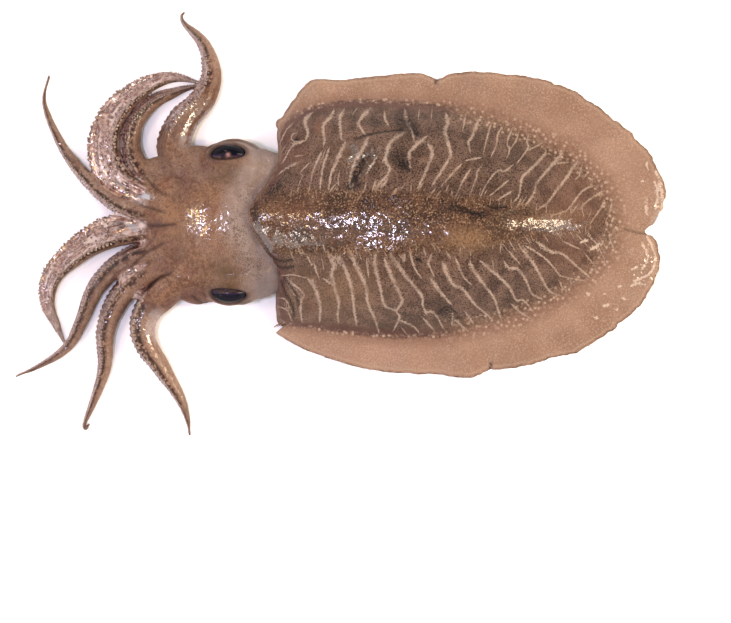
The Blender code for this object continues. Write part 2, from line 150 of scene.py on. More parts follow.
LEFT_MARKS = (
    (FINE, (-24, -22.6), (-19.6, -22.3), (-14.4, -23.4)),
    (MIDDLE, (-22.9, -24.3), (-20.2, -25.9), (-15.2, -30.3), (-16, -33)),
    (FINE, (-22.4, -25.9), (-19.6, -30.3), (-16.3, -33.3)),
    (MIDDLE, (-16.1, -33), (-16.6, -36.3), (-16.1, -41.8)),
    (FINE, (-26.2, -32), (-22.9, -33), (-20.2, -38.5)),
    (FINE, (-25.7, -35.8), (-22.4, -37.4), (-20.5, -41.8)),
    (BROAD, (-13, -24.3), (-10.8, -26.5), (-8.7, -33), (-8.1, -35.8), (-8.4, -41.3)),
    (FINE, (-7.6, -14.4), (-6.7, -19.6)),
    (MIDDLE, (-10.6, -17.7), (-8.9, -23.2)),
    (
        BROAD, (-4.8, -12.7), (-2.1, -18.8), (-3.2, -21), (-1.8, -28.1), (-0.2, -33.6),
        (-0.7, -39.1), (-0.4, -41.8),
    ),
    (MIDDLE, (-6.2, -24.3), (-2.3, -27)),
    (BROAD, (-0.4, -14.4), (2.9, -20.4), (5.3, -28.1), (6.2, -35.8), (7.3, -42.9)),
    (BROAD, (4.2, -11.6), (7.3, -18.8), (11.1, -26.5), (12.2, -34.1), (15, -40.7), (16.9, -46.2)),
    (MIDDLE, (11.7, -16), (12.5, -22.6)),
    (FINE, (8.6, -13.3), (9.2, -15.5)),
    (FINE, (12.2, -10.5), (13.6, -15.5)),
    (BROAD, (15.5, -13.8), (15.2, -17.7), (17.7, -29.2), (19.3, -35.2), (23.7, -37.4)),
    (BROAD, (19.4, -15.5), (22.1, -22.6), (25.9, -30.9), (26.8, -33.6), (24.3, -37.7)),
    (MIDDLE, (24.6, -38.5), (25.7, -40.2), (23.5, -45.7)),
    (MIDDLE, (25.9, -41.5), (31.4, -44), (33.9, -46.5)),
    (FINE, (26.8, -45.1), (28.7, -47.3)),
    (BROAD, (21.8, -13.6), (26.5, -20.4), (31.4, -26.5), (35.3, -31.4), (35.5, -34.7), (36.9, -38.5)),
    (MIDDLE, (37, -38.3), (39.7, -38), (41.8, -40.2), (44.6, -45.1)),
    (MIDDLE, (35.8, -40.7), (40.7, -46.2)),
    (MIDDLE, (29.8, -12.2), (32, -19.3), (34.7, -23.4)),
    (FINE, (27, -13.8), (27, -17.1)),
    (MIDDLE, (39.1, -13.8), (38, -17.7), (40.2, -22.6)),
    (BROAD, (39.1, -24.3), (43.5, -30.3), (47.6, -34.7)),
    (BROAD, (43.9, -17.1), (45.8, -22.1), (48.6, -26.5), (52.7, -28.4), (57.2, -34.1), (65.4, -41.1)),
    (MIDDLE, (49.6, -15.8), (52.7, -22.8), (56.2, -26.5)),
    (BROAD, (55.6, -16.4), (56.2, -19), (62.2, -27.2), (66, -32.2), (69.2, -40.8)),
    (BROAD, (60, -16.4), (66.6, -22.1), (72.3, -27.2), (75.5, -32.9), (78.6, -32.9), (82.7, -37.3)),
    (MIDDLE, (73.6, -34.8), (78, -38.5), (82.7, -41.1)),
    (BROAD, (70.4, -17.1), (72.3, -19.6), (75.5, -19.6), (79.3, -24), (82.4, -30.3), (86.8, -32.5)),
    (FINE, (65.1, -16.4), (65.7, -19.6)),
    (MIDDLE, (72.3, -12.6), (76.7, -17.4)),
    (BROAD, (77.7, -11.4), (82.4, -17.1), (86.2, -23.4), (90, -29.1), (94.4, -31)),
    (MIDDLE, (79.3, -10.1), (86.8, -14.5), (92.5, -20.2), (95.1, -22.8), (105.2, -24.6)),
    (BROAD, (83.7, -8.2), (90, -12.3), (95.1, -13.3), (101.4, -18.3), (107.1, -22.8)),
    (MIDDLE, (95.7, -8.2), (102.6, -11.1)),
    (FINE, (105.2, -13.3), (109.6, -18.3), (110.2, -21.2)),
    (FINE, (106.4, -5.7), (109.6, -8.2), (113.4, -14.5), (113.7, -17.4)),
    (FINE, (101.4, -5.1), (106.4, -10.1)),
    (FINE, (112.1, -7), (114.3, -10.4)),
    (FINE, (115.9, -6.3), (118.4, -12.6)),
    (MIDDLE, (94.4, -25.3), (95.7, -27.8), (97.6, -29.1)),
    (FINE, (99.2, -25), (99.5, -26.5)),
    (MIDDLE, (54, -38.2), (57.5, -43)),
    (MIDDLE, (49, -41.1), (54.6, -45.8)),
    (MIDDLE, (48.4, -38.5), (48.2, -43.5)),
)
MARK_TAPER = 3.0  # over which a mark thins out at its outer end
MARK_THINNING = 0.55  # lost by its inner end
REAR_THINNING = 0.2  # lost by the marks behind the middle of the back
NO_MARK = 9.0

# Cracks and creases in the skin, each a width and its line; the colour darkens them with painted shade.
CREASES = (
    (0.9, (28.4, 44.5), (29.6, 42), (31.2, 40.4), (32.2, 38.4), (33.4, 37.2)),
    (0.7, (25.5, 44.4), (28, 43.4), (30.5, 44)),
    (0.5, (6.7, 35.3), (12.2, 37.3), (21.5, 39.2), (27, 39.7)),
    (1.0, (49.6, 6.6), (53, 6), (55.5, 4.2), (59.7, 3.5)),
    (0.9, (63, 7), (66, 6), (71, 6.6)),
    (1.6, (10.6, 25.6), (8.6, 21.5), (5.6, 17.6), (3.6, 15.2)),
    (1.0, (9, 16.6), (6.4, 15), (4, 14.2)),
    (1.2, (27, 26.5), (28, 23.6), (29.6, 22)),
    (0.7, (-17.6, 36.2), (-18.8, 35.8)),
    (0.8, (-23.6, -23.4), (-20.5, -28), (-18.4, -31), (-17.4, -35)),
    (0.6, (-25, -25), (-23.2, -30), (-20.6, -34.4), (-19.4, -40)),
    (0.5, (-29, -15.5), (-24.5, -16.5), (-20, -16)),
    (0.5, (-27.5, -18.4), (-23.5, -19.4), (-19.5, -18.6)),
    (0.8, (33, -15.4), (34.6, -16.8)),
    (0.6, (42.5, -38), (46, -36), (50, -38.5)),
    (1.1, (134, -4.4), (128, -3.8), (122.5, -2.6)),
    (1.0, (64.8, -63.8), (65.2, -60)),
    (0.8, (41.8, 62.6), (41.4, 60.4)),
)
# Cream flecks on the wet end of the fin, as soft patches: partly pale skin, partly painted glints of the wet
# film.
FIN_FLECKS_AND_GLINTS = (
    ((107, -30.4), (1.5, 0.7), -20, 1), ((114.8, -35.2), (2, 0.9), 16, 1),
    ((110.4, -40.6), (1.4, 0.8), -20, 1), ((120.6, -27), (1.5, 0.6), 28, 1),
    ((122.4, -32.2), (1.5, 0.6), -30, 1), ((127.8, -24.5), (2, 0.7), 15, 1),
    ((126.6, -19.4), (2.2, 0.6), 30, 1), ((119, -37), (1.2, 0.6), -25, 1),
    ((114, -30.4), (0.8, 0.6), 50, 1), ((131.9, 7), (0.8, 4.5), 2, 1),
    ((136.8, 13), (0.8, 5), -8, 1), ((130.3, 18), (1, 0.8), 40, 1),
    ((132.4, 25), (0.8, 2.2), 10, 1), ((109.8, -10.2), (3.6, 1.1), 28, 1),
    ((105, -7.6), (2.4, 0.8), 20, 1),
)
# Painted highlights: thin pale lines of glints along the wet film on the fin's end, each a width and its
# line.
PAINTED_GLINT_LINES = (
    (0.8, (132.2, -5.7), (134.8, -10.5), (135.8, -15.7), (133.7, -21.3), (127.9, -24.3)),
    (0.6, (130.1, -8.5), (132.4, -13), (132.2, -16.5), (130.1, -19.3)),
    (0.6, (125.5, -27), (128.5, -25.6), (131, -26.6)),
    (0.6, (138, 4), (138.9, 10), (138.2, 17), (136, 22.5)),
    (0.5, (135.8, 6), (136.6, 12), (135.6, 18)),
)
# How far outside the sac's edge its brown skin ends, from the tail anticlockwise.
SKIN_ENDS = (
    (-180, -150, -90, -65, -38, -20, 0, 20, 42, 68, 100, 137, 180),
    (0, 0, 0, 1, 2, 3, 4, 5, 3, 0, -2, -1, 0),
)

# Soft patches on the mantle: middle, two radii, turn in degrees, strength.
DARK_PATCHES = (
    ((8, 21.5), (7.5, 1.8), 66, 1.0), ((27.5, 24.5), (3.2, 2.6), 0, 1.0), ((25.5, 28.5), (4.5, 5), 20, 0.5),
    ((16, 43.5), (4.5, 3), -50, 0.45), ((28, 43), (6, 4.5), -30, 0.5), ((31.5, 41), (0.9, 5), 35, 0.9),
    ((53, 4.6), (7, 1.6), -14, 1.0), ((60, 3), (4, 1.5), 20, 1.0), ((67, 6.5), (5, 1.6), 10, 0.45),
    ((48, 8), (5, 1.2), 20, 0.4), ((33.5, -16), (1.8, 0.9), -20, 0.9),
    ((46, -38.5), (4.5, 2.6), -30, 0.7), ((78, 4), (8, 1.5), 0, 0.5), ((-18.2, 35.8), (1.2, 0.8), 20, 0.9),
    ((66, 22), (7, 3), -20, 0.35), ((80, 14), (10, 2.5), 40, 0.3), ((28, -39), (1, 0.6), 0, 1),
    ((-28, 14), (7, 3), 50, 0.6), ((-31, -12), (8, 2.5), -58, 0.6), ((-36, 2), (1.8, 7), 0, 0.6),
    ((54, 14), (14, 4), 8, 0.25),
)
TAN_PATCHES = (
    ((54, -7), (10, 5), 0, 1.0), ((-27, 3), (9, 6), 0, 0.15), ((88, 2), (14, 3), 4, 0.5),
    ((30, -8), (12, 2), 0, 0.3), ((-2, -28), (22, 13), 0, 0.45), ((0, 30), (10, 8), 0, 0.2),
)
RED_PATCHES = (
    ((100, 7), (14, 16), 0, 0.6), ((99, -12), (14, 12), 0, 0.5), ((-20, 4), (15, 10), 10, 0.4),
    ((-8, 41), (3, 4), 0, 0.9), ((-18, 30), (5, 9), 10, 0.5),
    ((8, -7), (20, 3), 0, 0.3), ((-12, -36), (3, 5), 0, 0.4),
)
WET_PATCHES = (
    ((5, -3), (30, 6.5), 0, 1.0), ((-18, -7), (15, 3.5), 0, 0.8), ((-33, -6), (8, 3.2), -55, 1.0),
    ((-28, 3), (9, 2), 0, 0.6), ((87, -1.2), (13.5, 2.8), -2, 1.0),
    ((136, 7), (2, 12), 0, 0.8), ((131, -22), (4, 10), -25, 0.8), ((12, 28), (12, 9), 0, 0.3),
)
GRIT_PATCHES = (((86, -1), (16, 4), -2, 0.8), ((108, -9.5), (9, 3), 25, 0.6), ((136, 7), (4, 14), 0, 0.3))
# Where the fin is pinker, and painted lighter where more light falls on it.
PINK_AND_LIT_PATCHES = (((12, -58), (46, 14), 0, 1.0), ((-22, -50), (14, 8), 0, 0.8), ((124, 26), (14, 22), 0, 0.35))

# ---- Head ----------------------------------------------------------------------------
HEAD_LOBES = (
    ((-50, 0.5, 12.0), (25, 30, 13.0)),
    ((-45.5, 23.3, 13.5), (16, 13, 12.5)),
    ((-45.5, -22.8, 13.5), (16, 13, 12.5)),
    ((-30, 0.5, 12.5), (22, 30, 9.0)),
    ((-36, 20.5, 12.0), (13, 12, 9.5)),
    ((-36, -21.0, 12.0), (13, 12, 9.5)),
    ((-70, 0.0, 9.0), (17, 25, 10.0)),
    ((-60, 22, 9.0), (13, 11.5, 9.0)),
    ((-60, -22, 9.0), (14, 13, 9.0)),
    ((-77, 20, 6.0), (9.5, 9, 6.0)),
    ((-86, -24, 6.5), (9, 9, 6.0)),
)
HEAD_VOXEL = 0.42
HEAD_SMOOTHING = 40
ARM_SMOOTHING = 0.05
HEAD_TRIANGLES = 194000
ARMS_FREE_X, ARMS_FREE_Y = -80, 36
ARMS_BLEND_X, ARMS_BLEND_Y = 12, 10

# Each arm's middle line from the head to the tip, its width, its height at the root, how long
# it stays wide, the share of its length by which it is down on the table, how far its sucker
# face turns from straight down, in degrees, and how pale its back is, from 0 to 1.
ARMS = {
    "right_1": dict(
        way=((-66, 1), (-78, 2), (-94, 7), (-107, 17), (-119, 32), (-127, 51), (-125, 64)),
        width=11.0, root=15.0, fullness=1.15, drop=0.62, turn=102, shade=0.2,
    ),
    "right_2": dict(
        way=(
            (-74, 9), (-85, 12), (-97, 20), (-101, 34),
            (-96.5, 47.5), (-86, 57.5), (-73, 62.7), (-60, 60.5),
        ),
        width=14.5, root=9.0, fullness=1.9, drop=0.3, turn=155, shade=0.5,
    ),
    "right_3": dict(
        way=((-72, 12), (-83, 18), (-90.3, 29), (-89.6, 41.5), (-81.5, 51.5), (-69.5, 57), (-59, 60)),
        width=12.5, root=9.0, fullness=1.8, drop=0.3, turn=118, shade=0.45,
    ),
    "right_4": dict(
        way=(
            (-66, 20), (-72, 32), (-68, 44), (-59, 54), (-55.5, 65),
            (-58.8, 77), (-66.5, 85.5), (-68, 89.2), (-66.6, 91.2),
        ),
        width=17.5, root=9.0, fullness=1.25, drop=0.35, turn=108, shade=0.75,
    ),
    "left_1": dict(
        way=(
            (-76, -1), (-90, -2), (-103, -6), (-114, -13),
            (-123.5, -23), (-125.5, -34), (-122, -43), (-118, -52),
        ),
        width=13.5, root=10.0, fullness=1.7, drop=0.4, turn=-155, shade=0.4,
    ),
    "left_2": dict(
        way=(
            (-70, -9), (-84, -12), (-96.3, -18), (-105.6, -28),
            (-111, -41), (-117, -52.5), (-128, -60.5), (-139.8, -66),
        ),
        width=11.8, root=12.0, fullness=1.3, drop=0.4, turn=-104, shade=0.1,
    ),
    "left_3": dict(
        way=(
            (-70, -14), (-84, -22), (-95, -31.5), (-101, -46), (-101.5, -62),
            (-106, -76), (-110, -86.5), (-109, -88.5), (-107.5, -86),
        ),
        width=13.0, root=10.0, fullness=1.35, drop=0.35, turn=-106, shade=0.6,
    ),
    "left_4": dict(
        way=(
            (-64, -19), (-75, -28), (-84, -38), (-85, -50),
            (-77.3, -62.5), (-69.2, -75), (-65.3, -85.5), (-64.5, -91.5),
        ),
        width=16.8, root=9.0, fullness=1.35, drop=0.35, turn=-97, shade=0.9,
    ),
}
# The pale nape's middle line, as Y and X, and how far it fades ahead of that.
NAPE = ((-34, -24, -15, -7, 1, 8, 15, 24, 34), (-33, -34, -38, -42, -44, -43, -40, -36, -34))
NAPE_FADES = 11
# Creases in the head, as in the mantle, darkened with painted shade.
HEAD_CREASES = (
    (0.5, (-56.5, 32), (-52, 34.8), (-46, 35.4), (-40, 34.6), (-35, 32)),
    (0.5, (-57, -34), (-51.5, -36.2), (-45, -36), (-38.5, -33.5)),
    (1.2, (-70, -0.6), (-76, -1.4), (-82, -1.2)),
    (0.6, (-63, -31.5), (-60, -33.6), (-56.5, -35.5)),
    (0.9, (-76, -9), (-82, -12.5), (-87, -17), (-91, -21.5)),
    (0.9, (-72, -21), (-78, -24.5), (-83, -29.5)),
    (0.8, (-75, 4.6), (-82, 7), (-88, 9.5)),
    (0.7, (-74, 12), (-79, 15), (-82.5, 19.5)),
)
# Soft patches on the head and arms, as on the mantle.
HEAD_TAN = (
    ((-71, 1), (6, 10), 0, 0.9), ((-58, 11), (9, 5), 30, 0.5), ((-62, -14), (9, 5), -20, 0.4),
    ((-55, -1), (6, 8), 0, 0.4),
)
HEAD_OLIVE = (
    ((-47, 21.5), (8, 5), 10, 0.8), ((-48, -21.5), (7, 5), -10, 1.0), ((-40, -12), (7, 5), 20, 0.35),
    ((-38, -23), (9, 7), 0, 0.45), ((-47, 27.4), (9, 2.6), 0, 0.5), ((-47, -27), (9, 3.5), 0, 0.9),
)
HEAD_PLUM = (
    ((-77, -1), (6.5, 2.2), 0, 1.0), ((-72, -11), (8, 5), -30, 0.5), ((-66, 16), (8, 6), 30, 0.4),
    ((-61, -30), (7, 3), 0, 0.4),
)
HEAD_WET = (
    ((-64, 44), (8, 12), -30, 1.0), ((-80, -44), (7, 9), 20, 1.0), ((-60.5, 0), (4.5, 8.5), 8, 1.0),
    ((-49.5, 1), (3.5, 6), 0, 0.8), ((-44, 2.5), (2, 3), 0, 0.6), ((-84, 11.5), (5, 2), 0, 0.9),
)
HEAD_LILAC = (((-31, -27), (10, 12), 0, 1.0), ((-33, 32), (6, 5), 0, 0.8))
HEAD_DOTS = (
    ((-44, -3), (8, 12), 0, 1.0), ((-38, -18), (8, 9), 20, 1.0), ((-40, 12), (7, 8), 0, 0.7),
    ((-42, 23), (8, 6), 0, 0.3), ((-44, -27), (8, 5), 0, 0.4),
)
HEAD_GRIT = (((-95, 40), (16, 24), 0, 0.4), ((-112, -20), (16, 20), 0, 0.4))
# Painted highlights where wet pools of liquid lie on the skin.
HEAD_POOL_HIGHLIGHTS = (
    ((-83.3, 11.2), (4, 1.4), 0, 0.9), ((-88.5, -1.6), (4, 1.6), -30, 0.9), ((-31, 26), (3, 6), 0, 0.3),
)

ARM_STATIONS = 220
ARM_SIDES = 32
ARM_TIP_RADIUS = 0.62
WIDTH_IN_RADII = 1.85
ARM_TAPER = 0.85
RESTING_HEIGHT = 0.82
SUCKER_FACE = 0.55
WEB_WIDTH = 0.24  # of the thin skirt along both edges of the sucker face, in arm radii
WEB_SCALLOP = 2.1  # length of one of its scallops
WEB_STARTS = 0.12
GROOVE = 0.06  # between the skirt and the arm's back, in arm radii
FOLD_DEPTH = 0.07  # of the lengthwise folds near the root of the sucker face
FOLDS = 3.5
FOLDS_END = 0.5
# Place across the face, size, and lean outwards in degrees.
SUCKER_ROWS = (
    (-0.96, 0.1, -35), (-0.7, 0.11, -15), (-0.35, 0.12, 0), (0, 0.12, 0),
    (0.35, 0.12, 0), (0.7, 0.11, 15), (0.96, 0.1, 35),
)
SUCKER_FIRST, SUCKER_LAST = 0.26, 0.98
SUCKER_SPACING = 2.5  # in sucker radii
SMALLEST_SUCKER = 0.24
CUP_SIDES = 8

EYE_RADII = (7.8, 4.4, 5.5)
EYES = {
    "eye_right": dict(centre=(-47.0, 28.5, 20.1), tilt=-35, notch_glint=1.0, veil_and_sheen=0.15),
    "eye_left": dict(centre=(-46.8, -29.0, 19.4), tilt=51, notch_glint=0.0, veil_and_sheen=0.6),
}
SOCKET_DEPTH = 1.8
LID_RISE = 0.5
LID_PLACE, LID_WIDTH = 1.22, 0.1  # of the fold round the eye, in eye radii

# ---- Camera and light ----------------------------------------------------------------
VIEW_CENTRE = (0.0112, -0.0379)
VIEW_WIDTH = 0.3147
LENS = 300.0
SENSOR = 36.0
FLOOR_RADIUS = 4.0
WALL_LIGHT, CEILING_LIGHT = 1.95, 0.42
BRIGHTNESS = 2.1  # of a pale, level surface under the lamps
CEILING_STARTS, CEILING_FULL = 0.38, 0.75  # as the sine of the height above the horizon
# Each lamp has its place, width, length, power and colour.
LAMPS = (
    ("above", (-0.4, -0.04, 1.86), 0.2, 0.2, 14.0, (0.8, 0.72, 1.0)),
    ("above_arms", (-0.75, -0.2, 1.73), 0.1, 0.1, 1.6, (0.8, 0.72, 1.0)),
    ("front", (-0.98, 0.12, 1.62), 0.28, 0.28, 6.0, (1.0, 0.66, 0.32)),
    ("front_low", (-1.36, -0.15, 1.3), 0.2, 0.2, 4.0, (0.82, 0.74, 1.0)),
    ("left", (-1.2, -0.9, 1.15), 0.24, 0.24, 3.0, (1.0, 0.92, 0.86)),
    ("right", (-0.5, 1.0, 1.3), 0.26, 0.26, 5.0, (1.0, 0.92, 0.8)),
    ("rear", (1.45, 0.02, 1.15), 0.2, 1.3, 28.0, (1.0, 0.78, 0.53)),
)


# ---- Lines and fields ----------------------------------------------------------------
def smoothstep(x):
    x = np.clip(x, 0, 1)
    return x * x * (3 - 2 * x)


def smooth_line(points, closed=False, steps=12):
    """A Catmull-Rom curve through the points, as a dense array."""
    points = np.array(points, float)
    before = points[-1] if closed else 2 * points[0] - points[1]
    after = points[:2] if closed else [2 * points[-1] - points[-2]]
    padded = np.vstack([[before], points, after])
    share = np.linspace(0, 1, steps, endpoint=False)[:, None]
    spans = [
        0.5 * (2 * b + (c - a) * share + (2 * a - 5 * b + 4 * c - d) * share**2
               + (3 * b - a - 3 * c + d) * share**3)
        for a, b, c, d in zip(padded, padded[1:], padded[2:], padded[3:])
    ]
    return np.vstack([*spans, padded[-2:-1]])


def evenly(line, count):
    """The line's points, spaced evenly along its length."""
    along = lengths(line)
    wanted = np.linspace(0, along[-1], count)
    return np.stack([np.interp(wanted, along, column) for column in line.T], axis=1)


def lengths(line):
    return np.concatenate([[0], np.cumsum(np.linalg.norm(np.diff(line, axis=0), axis=1))])


def polar(points):
    """A closed outline round the body's centre, as sorted angles and radii."""
    line = smooth_line(points, closed=True)[:-1] - np.array(BODY_CENTRE)
    angles = np.arctan2(line[:, 1], line[:, 0])
    order = np.argsort(angles)
    return angles[order], np.hypot(line[:, 0], line[:, 1])[order]


def radius_at(outline, angle):
    return np.interp(angle, *outline, period=2 * math.pi)


SAC, FIN = polar(MANTLE_EDGE), polar(FIN_EDGE)


def patches(x, y, table):
    """How strongly the soft patches of a table cover each point."""
    cover = np.zeros(len(x))
    for (middle_x, middle_y), (long, short), turn, strength in table:
        turn = math.radians(turn)
        along = (x - middle_x) * math.cos(turn) + (y - middle_y) * math.sin(turn)
        aside = (y - middle_y) * math.cos(turn) - (x - middle_x) * math.sin(turn)
        cover = np.maximum(cover, strength * np.exp(-((along / long) ** 2 + (aside / short) ** 2)))
    return cover


def fin_margin(angle):
    """Radius of the fin's margin, a little ragged."""
    smooth = radius_at(FIN, angle)
    ring = np.stack([smooth * np.cos(angle), smooth * np.sin(angle), 0 * angle], axis=1)
    rear = 1 + smoothstep(ring[:, 0] / 60)
    return smooth + (0.4 * grain(ring, 4.5, 7) + 0.25 * grain(ring, 1.7, 8)) * rear


def edge_of_skin(angle):
    """Radius at which the sac's brown skin gives way to the fin's."""
    return radius_at(SAC, angle) + np.interp(np.degrees(angle), *SKIN_ENDS)


def band_flecks():
    """Short pale dashes along both sides of the back's dark band."""
    dice = random.Random(11)
    flecks = []
    for sign in (-1, 1):
        for number in range(BAND_FLECKS):
            x = -20 + 130 * (number + dice.uniform(-0.4, 0.4)) / BAND_FLECKS
            y = sign * (float(band_half_width(x)) + dice.uniform(-3, 2.5))
            reach = dice.uniform(0.6, 1.8)
            lean = dice.uniform(-0.1, 0.8) * reach
            width = dice.uniform(0.8, 1.2)
            flecks.append((width, (x - lean, y - sign * reach), (x, y), (x + lean, y + sign * reach)))
    return tuple(flecks)


def nearest_mark(x, y, marks):
    """Each point's signed distance from the nearest mark in half widths, and its plain one in mm."""
    side, near = np.full(len(x), NO_MARK), np.full(len(x), NO_MARK)
    for width, *points in marks:
        line = smooth_line(points, steps=5)
        along = lengths(line)
        for start, end, begun in zip(line, line[1:], along):
            span = end - start
            length = math.hypot(*span)
            beside = np.abs(x - start[0]) < length + 3
            close = np.flatnonzero(beside & (np.abs(y - start[1]) < length + 3))
            off_x, off_y = x[close] - start[0], y[close] - start[1]
            share = np.clip((off_x * span[0] + off_y * span[1]) / length**2, 0, 1)
            distance = np.hypot(off_x - share * span[0], off_y - share * span[1])
            travelled = begun + share * length
            half = width / 2 * (0.4 + 0.6 * smoothstep(travelled / MARK_TAPER + 0.2))
            half = half * (1 - MARK_THINNING * travelled / along[-1])
            half = half * (1 - REAR_THINNING * smoothstep((x[close] - 45) / 20))
            turn = np.sign(off_x * span[1] - off_y * span[0])
            nearer = distance < near[close]
            near[close[nearer]] = distance[nearer]
            side[close[nearer]] = (turn * distance / half)[nearer]
    return side, near


def grain(points, size, seed=0):
    """Smooth noise from -1 to 1 with features of that size, at points in mm."""
    shift = Vector((seed, -seed, 2 * seed))
    return np.array([noise.noise(Vector(point) / size + shift) for point in points])


# ---- Objects -------------------------------------------------------------------------
def mesh_points(mesh):
    points = np.empty(len(mesh.vertices) * 3)
    mesh.vertices.foreach_get("co", points)
    return points.reshape(-1, 3) / MM


def mesh_normals(mesh):
    normals = np.empty(len(mesh.vertices) * 3)
    mesh.vertices.foreach_get("normal", normals)
    return normals.reshape(-1, 3)


def set_points(mesh, points):
    mesh.vertices.foreach_set("co", (points * MM).ravel())
    mesh.update()


def paint(mesh, name, values):
    """Stores a number for each vertex, which the materials read by name."""
    layer = mesh.attributes.new(name, "FLOAT", "POINT")
    layer.data.foreach_set("value", np.asarray(values, np.float32))


def make_piece(name, bm, finish, node=None):
    mesh = bpy.data.meshes.new(name)
    bm.to_mesh(mesh)
    bm.free()
    mesh.shade_smooth()
    mesh.materials.append(finish)
    piece = bpy.data.objects.new(name, mesh)
    bpy.context.scene.collection.objects.link(piece)
    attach(piece, "root")
    if node:
        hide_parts(node)
    return piece


def apply_modifiers(piece):
    graph = bpy.context.evaluated_depsgraph_get()
    mesh = bpy.data.meshes.new_from_object(piece.evaluated_get(graph))
    piece.modifiers.clear()
    piece.data = mesh


# ---- Materials -----------------------------------------------------------------------
def tone(red, green, blue):
    """A shader's colour that the lamps bring up to these screen values of 0 to 255."""
    return (*(((c / 255 + 0.055) / 1.055) ** 2.4 / BRIGHTNESS for c in (red, green, blue)), 1)


FILM_DEPTH = 0.27  # of the ripples in the wet film, in mm
FLESH = {"Specular_IOR_Level": 0.08, "Subsurface_Weight": 0.05, "Subsurface_Scale": 0.0015,
         "Coat_Roughness": 0.04}


class Finish:
    """A material that is being wired. Each method adds a node and gives its output back."""

    def __init__(self, name, roughness):
        self.material = bpy.data.materials.new(name)
        self.material.use_nodes = True
        self.tree = self.material.node_tree
        self.shader = self.tree.nodes["Principled BSDF"]
        self.shader.inputs["Roughness"].default_value = roughness
        self.place = self.tree.nodes.new("ShaderNodeTexCoord").outputs["Object"]

    def put(self, socket, value):
        if isinstance(value, bpy.types.NodeSocket):
            self.tree.links.new(value, socket)
        else:
            socket.default_value = value

    def layer(self, name):
        node = self.tree.nodes.new("ShaderNodeAttribute")
        node.attribute_name = name
        return node.outputs["Fac"]

    def vector(self, x, y):
        node = self.tree.nodes.new("ShaderNodeCombineXYZ")
        self.put(node.inputs["X"], x)
        self.put(node.inputs["Y"], y)
        return node.outputs[0]

    def noise(self, size, detail=2.0, seed=0.0, rough=0.5, place=None):
        """Cloudy noise about 0.5, with features of that many mm."""
        node = self.tree.nodes.new("ShaderNodeTexNoise")
        node.noise_dimensions = "4D"
        self.put(node.inputs["Vector"], place or self.place)
        node.inputs["W"].default_value = seed
        node.inputs["Scale"].default_value = 1 / (size * MM)
        node.inputs["Detail"].default_value = detail
        node.inputs["Roughness"].default_value = rough
        return node.outputs["Fac"]

    def cells(self, size, flat=False):
        """Distance from the nearest of many scattered points, that many mm apart."""
        node = self.tree.nodes.new("ShaderNodeTexVoronoi")
        node.voronoi_dimensions = "2D" if flat else "3D"
        self.put(node.inputs["Vector"], self.place)
        node.inputs["Scale"].default_value = 1 / (size * MM)
        return node.outputs["Distance"]

    def math(self, operation, first, second=0.0):
        node = self.tree.nodes.new("ShaderNodeMath")
        node.operation = operation
        self.put(node.inputs[0], first)
        self.put(node.inputs[1], second)
        return node.outputs[0]

    def step(self, value, low, high, bottom=0.0, top=1.0):
        """Rises smoothly from bottom, where the value is low, to top, where it is high."""
        node = self.tree.nodes.new("ShaderNodeMapRange")
        node.interpolation_type = "SMOOTHSTEP"
        for socket, given in zip(node.inputs, (value, low, high, bottom, top)):
            self.put(socket, given)
        return node.outputs[0]

    def mix(self, share, first, second):
        node = self.tree.nodes.new("ShaderNodeMix")
        node.data_type = "RGBA"
        self.put(node.inputs["Factor"], share)
        self.put(node.inputs[6], first)
        self.put(node.inputs[7], second)
        return node.outputs[2]

    def bump(self, height, depth, below=None):
        """Relief in the shading, depth in mm."""
        node = self.tree.nodes.new("ShaderNodeBump")
        self.put(node.inputs["Height"], height)
        node.inputs["Distance"].default_value = depth * MM
        node.inputs["Strength"].default_value = 1.0
        if below is not None:
            self.put(node.inputs["Normal"], below)
        return node.outputs[0]

    def done(self, **sockets):
        """Joins the shader's sockets, each named with underscores, to what they take."""
        for name, value in sockets.items():
            self.put(self.shader.inputs[name.replace("_", " ")], value)
        return self.material


